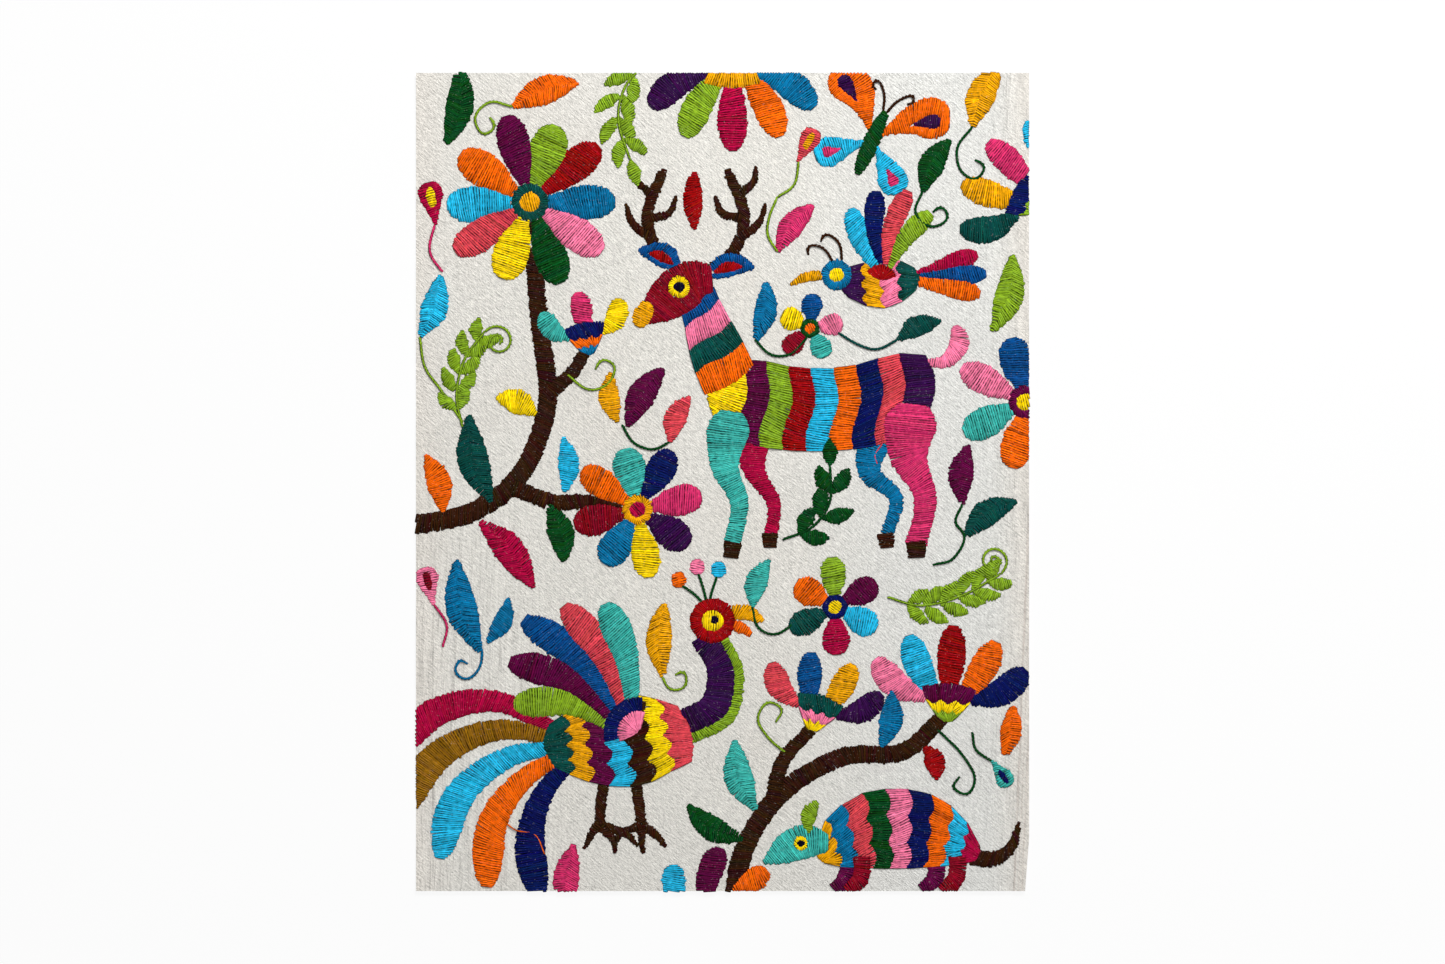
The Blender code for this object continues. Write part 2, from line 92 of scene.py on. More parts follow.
class Form(Enum):
    """Half-width along a shape from root to tip: (place, share of the full width)."""

    PETAL = ((0, .30), (.15, .52), (.35, .84), (.6, 1.0), (.8, .9), (.93, .62), (1, .26))
    LEAF = ((0, .14), (.18, .58), (.42, 1.0), (.68, .86), (.88, .42), (1, .10))
    SPEAR = ((0, .52), (.2, .88), (.4, 1.0), (.65, .84), (.85, .46), (1, .08))
    DROP = ((0, .10), (.18, .26), (.42, .62), (.66, .96), (.82, 1.0), (.94, .76), (1, .34))
    OVAL = ((0, .30), (.08, .58), (.25, .9), (.5, 1.0), (.75, .9), (.92, .58), (1, .30))
    FEATHER = ((0, .42), (.3, .66), (.65, .96), (.8, 1.0), (.93, .74), (1, .32))
    STEM = ((0, 1.0), (.5, .94), (1, .8))
    BEAM = ((0, 1.0), (.5, .92), (.9, .8), (1, .42))
    TAPER = ((0, 1.0), (.4, .78), (.8, .42), (1, .12))
    LEG = ((0, .55), (.07, .9), (.16, 1.0), (.34, .74), (.56, .47), (.85, .38), (1, .42))
    PLUME = ((0, .30), (.25, .62), (.55, .9), (.75, 1.0), (.9, .72), (1, .16))


class Work(Enum):
    """How a shape is filled."""

    SATIN = "each stitch crosses the whole shape"
    HERRINGBONE = "stitches from both edges overlap along the middle"


# Drawing


def through(points: Points | Array, count: int) -> Array:
    """Spaces points evenly on a smooth curve.

    Args:
        points: The points that the curve passes through.
        count: How many points to return.

    Returns:
        An array of count rows, X and Y.
    """
    p = np.array(points, float)
    if len(p) == 2:
        t = np.linspace(0, 1, count)[:, None]
        return p[0] * (1 - t) + p[1] * t
    ends = np.vstack([2 * p[0] - p[1], p, 2 * p[-1] - p[-2]])
    t = np.linspace(0, 1, 24, endpoint=False)[:, None]
    fine = [0.5 * (2 * b + (c - a) * t + (2 * a - 5 * b + 4 * c - d) * t**2
                   + (3 * b - a - 3 * c + d) * t**3)
            for a, b, c, d in zip(ends, ends[1:], ends[2:], ends[3:])]
    run = np.vstack([*fine, p[-1:]])
    along = np.concatenate([[0], np.cumsum(np.hypot(*np.diff(run, axis=0).T))])
    at = np.linspace(0, along[-1], count)
    return np.stack([np.interp(at, along, run[:, k]) for k in (0, 1)], axis=1)


@dataclass(frozen=True)
class Fill:
    """A filled shape between two rails that its stitches cross."""

    dye: Dye
    left: Array
    right: Array
    work: Work = Work.SATIN
    closed: bool = False

    def outline(self) -> Array:
        """The area that the shape covers."""
        return self.right if self.closed else np.vstack([self.left, self.right[::-1]])


@dataclass(frozen=True)
class Thin:
    """A thin line: stem stitch, or a loose thread that lies on the work."""

    dye: Dye
    path: Array
    loose: bool = False


Shape = Fill | Thin


class Stroke(NamedTuple):
    """A shape along a spine."""

    dye: Dye
    spine: Points
    width: float
    form: Form
    work: Work = Work.SATIN

    def fill(self) -> Fill:
        """The stroke's two rails."""
        count = 40
        spine = through(self.spine, count)
        widths = through(self.form.value, 80)
        half = np.interp(np.linspace(0, 1, count), widths[:, 0], widths[:, 1]) * self.width / 2
        step = np.gradient(spine, axis=0)
        normal = np.stack([-step[:, 1], step[:, 0]], axis=1) / np.hypot(*step.T)[:, None]
        offset = normal * half[:, None]
        return Fill(self.dye, spine + offset, spine - offset, self.work)


class Ray(NamedTuple):
    """A petal, leaf or feather that points away from a spot."""

    dye: Dye
    x: float
    y: float
    angle: float
    start: float
    length: float
    width: float
    form: Form
    bend: float = 0.0
    work: Work = Work.SATIN

    def fill(self) -> Fill:
        """The ray's two rails."""
        a = math.radians(self.angle)
        ahead = np.array([math.cos(a), math.sin(a)])
        aside = np.array([-math.sin(a), math.cos(a)])
        spine = [np.array([self.x, self.y]) + ahead * (self.start + self.length * u) + aside * b
                 for u, b in ((0, 0), (.5, self.bend), (1, self.bend * .1))]
        return Stroke(self.dye, spine, self.width, self.form, self.work).fill()


class Disc(NamedTuple):
    """A round spot."""

    dye: Dye
    x: float
    y: float
    radius: float
    turn: float = 0.0

    def fill(self) -> Fill:
        """The spot's two rails."""
        a = math.radians(self.turn)
        d = np.array([math.cos(a), math.sin(a)]) * self.radius
        c = np.array([self.x, self.y])
        return Stroke(self.dye, [c - d, c + d], 2 * self.radius, Form.OVAL).fill()


class Ring(NamedTuple):
    """A ring with its stitches along the radii."""

    dye: Dye
    x: float
    y: float
    inner: float
    outer: float

    def fill(self) -> Fill:
        """The ring's inner and outer rails."""
        a = np.linspace(0, 2 * math.pi, 60)
        unit = np.stack([np.cos(a), np.sin(a)], axis=1)
        c = np.array([self.x, self.y])
        return Fill(self.dye, c + unit * self.inner, c + unit * self.outer, closed=True)


class Arc(NamedTuple):
    """Part of a ring."""

    dye: Dye
    x: float
    y: float
    inner: float
    outer: float
    first: float
    last: float

    def fill(self) -> Fill:
        """The arc's inner and outer rails."""
        a = np.radians(np.linspace(self.first, self.last, 40))
        unit = np.stack([np.cos(a), np.sin(a)], axis=1)
        c = np.array([self.x, self.y])
        return Fill(self.dye, c + unit * self.inner, c + unit * self.outer)


class Line(NamedTuple):
    """A thin line through a few points."""

    dye: Dye
    points: Points
    loose: bool = False

    def fill(self) -> Thin:
        """The line's path."""
        return Thin(self.dye, through(self.points, 60), self.loose)


class Knot(NamedTuple):
    """A small looped knot with two short ends."""

    dye: Dye
    x: float
    y: float
    size: float

    def fill(self) -> Thin:
        """The knot's thread."""
        a = np.linspace(0, 4.2 * math.pi, 40)
        r = self.size * np.interp(a, (0, 1.5, 11, 13.2), (1.9, 1.0, .7, 2.2))
        return Thin(self.dye, np.stack([self.x + r * np.cos(a), self.y + r * np.sin(a)], axis=1), True)


@dataclass(frozen=True)
class Bands:
    """Coloured bands across a body, between two contours that run the same way."""

    dyes: tuple[Dye, ...]
    top: Points
    bottom: Points
    swing: float
    waves: float = 0.0
    scallops: int = 0
    first_bulge: float = 0.0
    last_bulge: float = 0.0
    shares: tuple[float, ...] = ()

    def fills(self) -> list[Fill]:
        """One shape for each band."""
        upper, lower = through(self.top, 101), through(self.bottom, 101)
        shares = self.shares or (1.0,) * len(self.dyes)
        edges = np.concatenate([[0], np.cumsum(shares)]) / sum(shares)
        t = np.linspace(0, 1, 40)[:, None]
        rails = []
        for k, u in enumerate(edges):
            i = u * 100
            a, b = (np.array([np.interp(i, range(101), side[:, c]) for c in (0, 1)])
                    for side in (lower, upper))
            j = min(99, max(1, int(i)))
            way = upper[j + 1] - upper[j - 1] + lower[j + 1] - lower[j - 1]
            if k in (0, len(edges) - 1):
                sway = (self.first_bulge if k == 0 else self.last_bulge) * np.sin(t * math.pi)
            elif self.scallops:
                sway = self.swing * (np.abs(np.sin(t * math.pi * self.scallops)) * 2 - 1)
            else:
                sway = self.swing * np.sin(t * math.pi * self.waves + 0.4)
            rails.append(a * (1 - t) + b * t + way / np.hypot(*way) * sway)
        return [Fill(dye, rails[k], rails[k + 1]) for k, dye in enumerate(self.dyes)]


@dataclass(frozen=True)
class Place:
    """Where a motif lies on the cloth."""

    x: float = 0.0
    y: float = 0.0
    turn: float = 0.0
    scale: float = 1.0
    flip: bool = False

    def points(self, drawn: Array) -> Array:
        """Points drawn round the origin, moved to their place."""
        a = math.radians(self.turn)
        matrix = np.array([[math.cos(a), -math.sin(a)], [math.sin(a), math.cos(a)]]) * self.scale
        if self.flip:
            matrix = matrix @ np.array([[-1, 0], [0, 1]])
        return drawn @ matrix.T + (self.x, self.y)

    def shape(self, shape: Shape) -> Shape:
        """A shape moved to its place."""
        if isinstance(shape, Thin):
            return Thin(shape.dye, self.points(shape.path), shape.loose)
        return Fill(shape.dye, self.points(shape.left), self.points(shape.right), shape.work, shape.closed)


# Motifs


@dataclass(frozen=True)
class Motif:
    """Something embroidered, drawn round its own origin from the bottom layer up."""

    place: Place

    def rows(self) -> list[Any]:
        """The motif's rows: strokes, rays, discs, rings, arcs, lines and bands."""
        raise NotImplementedError

    def shapes(self) -> list[Shape]:
        """The motif's shapes at its place on the cloth."""
        drawn: list[Shape] = []
        for row in self.rows():
            drawn += row.fills() if isinstance(row, Bands) else [row.fill()]
        return [self.place.shape(shape) for shape in drawn]


@dataclass(frozen=True)
class Deer(Motif):
    """A standing deer with a banded body and neck, facing right."""

    def rows(self) -> list[Any]:
        """Far legs, tail, body, near legs, neck, antlers, ears and face."""
        d, f = Dye, Form
        return [
            Stroke(d.RASPBERRY, ((27, -8), (27, -26), (19, -40), (20, -54)), 13, f.LEG),
            Stroke(d.AZURE, ((-24, -8), (-20, -27), (-31, -38), (-27, -54)), 13, f.LEG),
            Stroke(d.BROWN, ((20.5, -52.5), (20.5, -58.5)), 6.5, f.STEM),
            Stroke(d.BROWN, ((-26.5, -52.5), (-27.5, -58.5)), 6.5, f.STEM),
            Stroke(d.PINK, ((-44, 17), (-52, 18), (-57, 25), (-55, 32)), 7.5, f.PLUME),
            Bands((d.VIOLET, d.CORAL, d.NAVY, d.ORANGE, d.CYAN, d.RED, d.LIME, d.PLUM, d.YELLOW),
                  ((-43, 20), (-32, 21), (-12, 15.5), (8, 15), (25, 18), (39, 17)),
                  ((-41, -9), (-30, -15), (-12, -18.5), (8, -19), (28, -16.5), (41, -9)),
                  1.5, waves=2.3, first_bulge=-5, last_bulge=6),
            Stroke(d.MINT, ((36, -3), (39, -24), (33, -40), (36, -58)), 17, f.LEG),
            Stroke(d.ROSE, ((-38, 0), (-36, -20), (-43, -38), (-39, -58)), 21, f.LEG),
            Stroke(d.BROWN, ((35.6, -56), (36.4, -62.5)), 7, f.STEM),
            Stroke(d.BROWN, ((-39.2, -56), (-39.8, -62.5)), 8, f.STEM),
            Bands((d.ORANGE, d.TEAL, d.PINK, d.BLUE), ((27, 16), (34, 30), (41, 42), (45, 52)),
                  ((47, 4), (52, 16), (54.5, 29), (57, 40)), .8, waves=2, first_bulge=-2, last_bulge=1),
            *self.antler(46, -1), *self.antler(55.5, 1),
            Stroke(d.BLUE, ((47, 52), (37, 57), (27, 56)), 9.5, f.LEAF),
            Stroke(d.RED, ((44, 53.5), (37.5, 56.2), (31, 56)), 4.2, f.LEAF),
            Stroke(d.BLUE, ((57, 54), (64, 61), (74, 63)), 9.5, f.LEAF),
            Stroke(d.RED, ((60, 57), (65, 60.6), (70.5, 61.8)), 4.2, f.LEAF),
            Stroke(d.CRIMSON, ((44, 51), (52, 50), (62, 43), (73, 33)), 19, f.SPEAR),
            Stroke(d.GOLD, ((69.5, 41.5), (72, 37), (74.4, 32)), 7.5, f.OVAL),
            Ring(d.YELLOW, 57.5, 48, 1.9, 4.4),
            Disc(d.INK, 57.5, 48, 2.2),
        ]

    def antler(self, x: float, hand: int) -> list[Stroke]:
        """One antler.

        Args:
            x: Where it leaves the head.
            hand: 1 for the right one, -1 for the left.

        Returns:
            Its beam and three tines.
        """
        b, f = Dye.BROWN, Form
        return [
            Stroke(b, ((x, 54), (x + hand * 11, 63), (x + hand * 15, 78), (x + hand * 8, 96)), 4.8, f.BEAM),
            Stroke(b, ((x + hand * 13.2, 68), (x + hand * 21, 74), (x + hand * 24, 83)), 3.8, f.TAPER),
            Stroke(b, ((x + hand * 14.2, 76), (x + hand * 6, 78), (x + hand * 3, 86)), 3.6, f.TAPER),
            Stroke(b, ((x + hand * 13, 86), (x + hand * 19, 91), (x + hand * 20, 98)), 3.4, f.TAPER),
        ]


@dataclass(frozen=True)
class Bird(Motif):
    """A long-tailed bird with a raised wing, facing right."""

    def rows(self) -> list[Any]:
        """Tail, legs, body, wing, crest, neck and head."""
        d, f = Dye, Form
        feathers = (
            (d.RASPBERRY, ((-24, 2), (-52, 16), (-80, 10), (-100, -12)), 12.4),
            (d.OLIVE, ((-25, 0), (-52, 4), (-78, -8), (-92, -32)), 12.4),
            (d.CYAN, ((-25, -3), (-48, -8), (-68, -24), (-76, -50)), 12.8),
            (d.ORANGE, ((-24, -6), (-42, -18), (-54, -36), (-56, -62)), 12.8),
            (d.NAVY, ((-20, -8), (-33, -24), (-38, -44), (-34, -66)), 12.4),
        )
        wing = (
            (d.LIME, 168, 44, -6), (d.PLUM, 152, 52, -6), (d.BLUE, 136, 58, -5), (d.CORAL, 121, 52, -4),
            (d.MINT, 105, 46, -3),
        )
        crest = ((d.ORANGE, -11, 10), (d.PINK, -4, 15), (d.CYAN, 4, 14))
        return [
            *(Stroke(dye, spine, width, f.FEATHER) for dye, spine, width in feathers),
            *self.foot(6, 2), *self.foot(-6, -2),
            Stroke(d.VIOLET, ((24, 4), (40, 13), (43, 30), (35, 44)), 14, f.STEM),
            Stroke(d.LIME, ((27, -1), (46, 9), (50, 28), (44, 42)), 4.2, f.STEM),
            Bands((d.TEAL, d.GOLD, d.PLUM, d.CYAN, d.BROWN, d.YELLOW, d.CORAL),
                  ((-30, 6), (-12, 15), (8, 19), (24, 14)), ((-28, -11), (-10, -18), (10, -19), (30, -9)),
                  1.7, scallops=4, first_bulge=-3, last_bulge=3),
            *(Ray(dye, 8, 3, angle, 10, length, 12.4, f.FEATHER, bend)
              for dye, angle, length, bend in wing),
            Arc(d.NAVY, 8, 3, 8.5, 15, 84, 196),
            Arc(d.PINK, 8, 3, .8, 9, 74, 206),
            *(Line(d.FOREST, ((37, 55), (37 + x * .45, 55 + y * .55), (37 + x, 55 + y)))
              for _, x, y in crest),
            *(Disc(dye, 37 + x * 1.12, 56.5 + y * 1.08, 3, 90) for dye, x, y in crest),
            Stroke(d.GOLD, ((45, 53), (53, 53.5), (61, 49.5)), 6.2, f.SPEAR),
            Stroke(d.ORANGE, ((45, 49), (51, 47), (56, 43.5)), 4.4, f.SPEAR),
            Ring(d.RED, 39, 50, 4, 9.4),
            Disc(d.YELLOW, 39, 50, 4.4),
            Disc(d.INK, 39.8, 50.4, 1.7),
        ]

    def foot(self, x: float, lean: float) -> list[Stroke]:
        """One leg with its three toes.

        Args:
            x: Where it leaves the body.
            lean: How far it leans to the right on its way down.

        Returns:
            The leg and its toes.
        """
        b, f = Dye.BROWN, Form
        ankle = x + lean * 1.5
        return [
            Stroke(b, ((x, -14), (x + lean, -27), (ankle, -38)), 4.4, f.STEM),
            Stroke(b, ((ankle, -36), (x + 9, -40), (x + 14, -46)), 4, f.TAPER),
            Stroke(b, ((ankle, -36), (x + 3, -42), (x + 4, -49)), 3.8, f.TAPER),
            Stroke(b, ((ankle, -36), (x - 6, -40), (x - 9, -46)), 3.8, f.TAPER),
        ]


@dataclass(frozen=True)
class Armadillo(Motif):
    """A walking armadillo with a banded shell, facing left."""

    def rows(self) -> list[Any]:
        """Tail, far legs, shell, near legs, head and ear."""
        d, f = Dye, Form
        return [
            Stroke(d.BROWN, ((40, -12), (52, -13), (61, -7), (65, 6)), 8.5, f.TAPER),
            Stroke(d.PLUM, ((-22, -14), (-24, -23), (-30, -29)), 8.5, f.STEM),
            Stroke(d.PLUM, ((22, -14), (22, -23), (15, -29)), 8.5, f.STEM),
            Bands((d.GOLD, d.AZURE, d.CORAL, d.FOREST, d.PINK, d.NAVY, d.ORANGE, d.CYAN, d.RASPBERRY),
                  ((-38, -4), (-32, 9), (-16, 20), (2, 23), (20, 20), (36, 9), (44, -6)),
                  ((-34, -15), (-26, -16.5), (-14, -17.5), (2, -18), (18, -17.5), (32, -16.5), (42, -14)),
                  1.3, scallops=3, first_bulge=-3, last_bulge=2),
            Stroke(d.CRIMSON, ((-16, -12), (-16, -22), (-23, -30)), 9, f.STEM),
            Stroke(d.CRIMSON, ((33, -12), (33, -22), (26, -30)), 9, f.STEM),
            Stroke(d.MINT, ((-33, -5), (-48, -5), (-66, -15)), 17, f.SPEAR),
            Stroke(d.LIME, ((-43, 0), (-43, 9), (-38, 17)), 7.5, f.LEAF),
            Ring(d.YELLOW, -47, -5.2, 1.6, 3.7),
            Disc(d.INK, -47, -5.2, 1.8),
        ]


@dataclass(frozen=True)
class Songbird(Motif):
    """A small bird in flight, facing right."""

    def rows(self) -> list[Any]:
        """Tail, body, wing, beak, crest and head."""
        d, f = Dye, Form
        tail = ((d.RASPBERRY, 168, 30), (d.BLUE, 184, 32), (d.ORANGE, 200, 30))
        wing = ((d.LIME, 136, 31), (d.CORAL, 116, 35), (d.NAVY, 96, 33), (d.CYAN, 76, 28))
        return [
            *(Ray(dye, -9, 0, angle, 1, length, 8, f.FEATHER) for dye, angle, length in tail),
            Bands((d.TEAL, d.PINK, d.GOLD, d.VIOLET), ((-12, 4), (-3, 9), (8, 9.5), (17, 8)),
                  ((-11, -5), (-2, -10), (8, -10), (17, -4)),
                  1.1, scallops=3, first_bulge=-2, last_bulge=4),
            *(Ray(dye, 3, 2, angle, 4, length, 8.4, f.FEATHER, -2) for dye, angle, length in wing),
            Arc(d.RED, 3, 1, .6, 7, 40, 176),
            Stroke(d.GOLD, ((25, 6), (33, 7), (42, 4.5)), 4, f.SPEAR),
            Ring(d.AZURE, 21, 6, 2.6, 6.4),
            Disc(d.YELLOW, 21, 6, 3),
            Line(d.BROWN, ((22, 12), (25, 18), (31, 20), (32, 16))),
            Line(d.BROWN, ((18, 12), (18, 19), (23, 24), (26, 21))),
        ]


@dataclass(frozen=True)
class Butterfly(Motif):
    """A butterfly seen from above, its head upwards."""

    def rows(self) -> list[Any]:
        """Two pairs of wings, feelers and body."""
        d, f = Dye, Form
        rows: list[Any] = []
        for h in (-1, 1):
            rows += [
                Stroke(d.ORANGE, ((h * 2, 3), (h * 13, 15), (h * 26, 21)), 17, f.DROP),
                Stroke(d.VIOLET, ((h * 12, 11.5), (h * 18, 16), (h * 23, 18.5)), 6, f.DROP),
                Stroke(d.CYAN, ((h * 2, -2), (h * 11, -9), (h * 19, -16)), 12, f.DROP),
                Stroke(d.ROSE, ((h * 10, -8.5), (h * 14, -11.6), (h * 17, -14)), 4.4, f.DROP),
                Line(d.BROWN, ((h * .6, 12), (h * 3, 19), (h * 8, 24), (h * 9.5, 20.5), (h * 7.2, 19.5))),
            ]
        return [*rows, Stroke(d.FOREST, ((0, 13), (0, 0), (0, -16)), 6.5, f.OVAL)]


@dataclass(frozen=True)
class Flower(Motif):
    """An open flower: petals of slightly uneven size round a ringed heart."""

    petals: tuple[Dye, ...]
    start: float
    length: float
    width: float
    ring: Dye
    heart: Dye
    radius: float

    def rows(self) -> list[Any]:
        """Petals, ring and heart."""
        rows: list[Any] = []
        for k, dye in enumerate(self.petals):
            wobble = math.sin(k * 2.4) * .07
            angle = 360 * k / len(self.petals) + 3 * math.sin(k * 1.7)
            rows.append(Ray(dye, 0, 0, angle, self.start, self.length * (1 + wobble),
                            self.width * (1 - wobble), Form.PETAL))
        return [*rows, Ring(self.ring, 0, 0, self.radius * .5, self.radius),
                Disc(self.heart, 0, 0, self.radius * .52, 20)]


@dataclass(frozen=True)
class Blossom(Motif):
    """A half-open flower on a three-banded cup, drawn upwards."""

    petals: tuple[Dye, ...]
    length: float
    width: float
    spread: float
    cup: tuple[Dye, Dye, Dye]

    def rows(self) -> list[Any]:
        """Petals from the sides to the middle, then the cup."""
        n, rows = len(self.petals), []
        for k in sorted(range(n), key=lambda i: -abs(i - (n - 1) / 2)):
            u = 2 * k / (n - 1) - 1
            rows.append(Ray(self.petals[k], u * self.width * .7, 3, 90 - u * self.spread, 1.5,
                            self.length * (1 - .12 * abs(u)), self.width, Form.PETAL, -u * 3))
        h = self.width * .95
        return [*rows, Bands(self.cup, ((-h * 1.05, 8.5), (-h * .8, 2), (-h * .25, -4)),
                             ((h * 1.05, 8.5), (h * .8, 2), (h * .25, -4)), .9, scallops=3,
                             first_bulge=-2, last_bulge=.8, shares=(1.15, 1, .9))]


@dataclass(frozen=True)
class Sprig(Motif):
    """Paired leaflets on a thin stem, which may end in a curl."""

    dye: Dye
    spine: Points
    leaves: int
    length: float
    width: float
    curl_radius: float = 0.0
    curl_turns: float = 0.0

    def rows(self) -> list[Any]:
        """Leaflets, stem and curl."""
        path = through(self.spine, 60)
        rows: list[Any] = []
        for k in range(self.leaves):
            u = .18 + .82 * k / (self.leaves - 1) * (.84 if self.curl_radius else 1)
            i = min(58, int(u * 59))
            way = math.degrees(math.atan2(*(path[i + 1] - path[i])[::-1]))
            length = self.length * (1 - .35 * abs(u - .45))
            if k == self.leaves - 1 and not self.curl_radius:
                rows.append(Ray(self.dye, *path[i], way, .6, length, self.width, Form.LEAF))
                continue
            rows += [Ray(self.dye, *path[i], way + hand * (32 + 6 * math.sin(k * 2.1 + hand)), .6, length,
                         self.width, Form.LEAF, hand * .8) for hand in (1, -1)]
        return [*rows, Line(self.dye, self.spine), *([self.curl(path)] if self.curl_radius else [])]

    def curl(self, path: Array) -> Line:
        """The curl that carries the stem on.

        Args:
            path: The stem.

        Returns:
            A line that winds inwards from the stem's end.
        """
        way = (path[-1] - path[-2]) / np.hypot(*(path[-1] - path[-2]))
        hand = math.copysign(1, self.curl_turns)
        centre = path[-1] + hand * self.curl_radius * np.array([-way[1], way[0]])
        start = math.atan2(*(path[-1] - centre)[::-1])
        t = np.linspace(0, 1, int(16 * abs(self.curl_turns)))
        a, r = start + 2 * math.pi * self.curl_turns * t, self.curl_radius * (1 - .8 * t)
        return Line(self.dye, centre + np.stack([r * np.cos(a), r * np.sin(a)], axis=1))


@dataclass(frozen=True)
class Pod(Motif):
    """A seed pod on a thin stem, drawn upwards."""

    dye: Dye
    seed: Dye
    stem: Dye
    bend: float = 4.0

    def rows(self) -> list[Any]:
        """Stem, pod and seed."""
        return [Line(self.stem, ((0, 0), (self.bend, 9), (0, 20))),
                Ray(self.dye, 0, 19, 92, 0, 17, 9.5, Form.DROP),
                Ray(self.seed, 0, 22, 92, 4, 8.5, 3.6, Form.OVAL)]


@dataclass(frozen=True)
class Scatter(Motif):
    """Rows that stand alone, drawn in the cloth's own frame."""

    drawn: tuple[Any, ...]

    def rows(self) -> list[Any]:
        """The rows as they are."""
        return list(self.drawn)


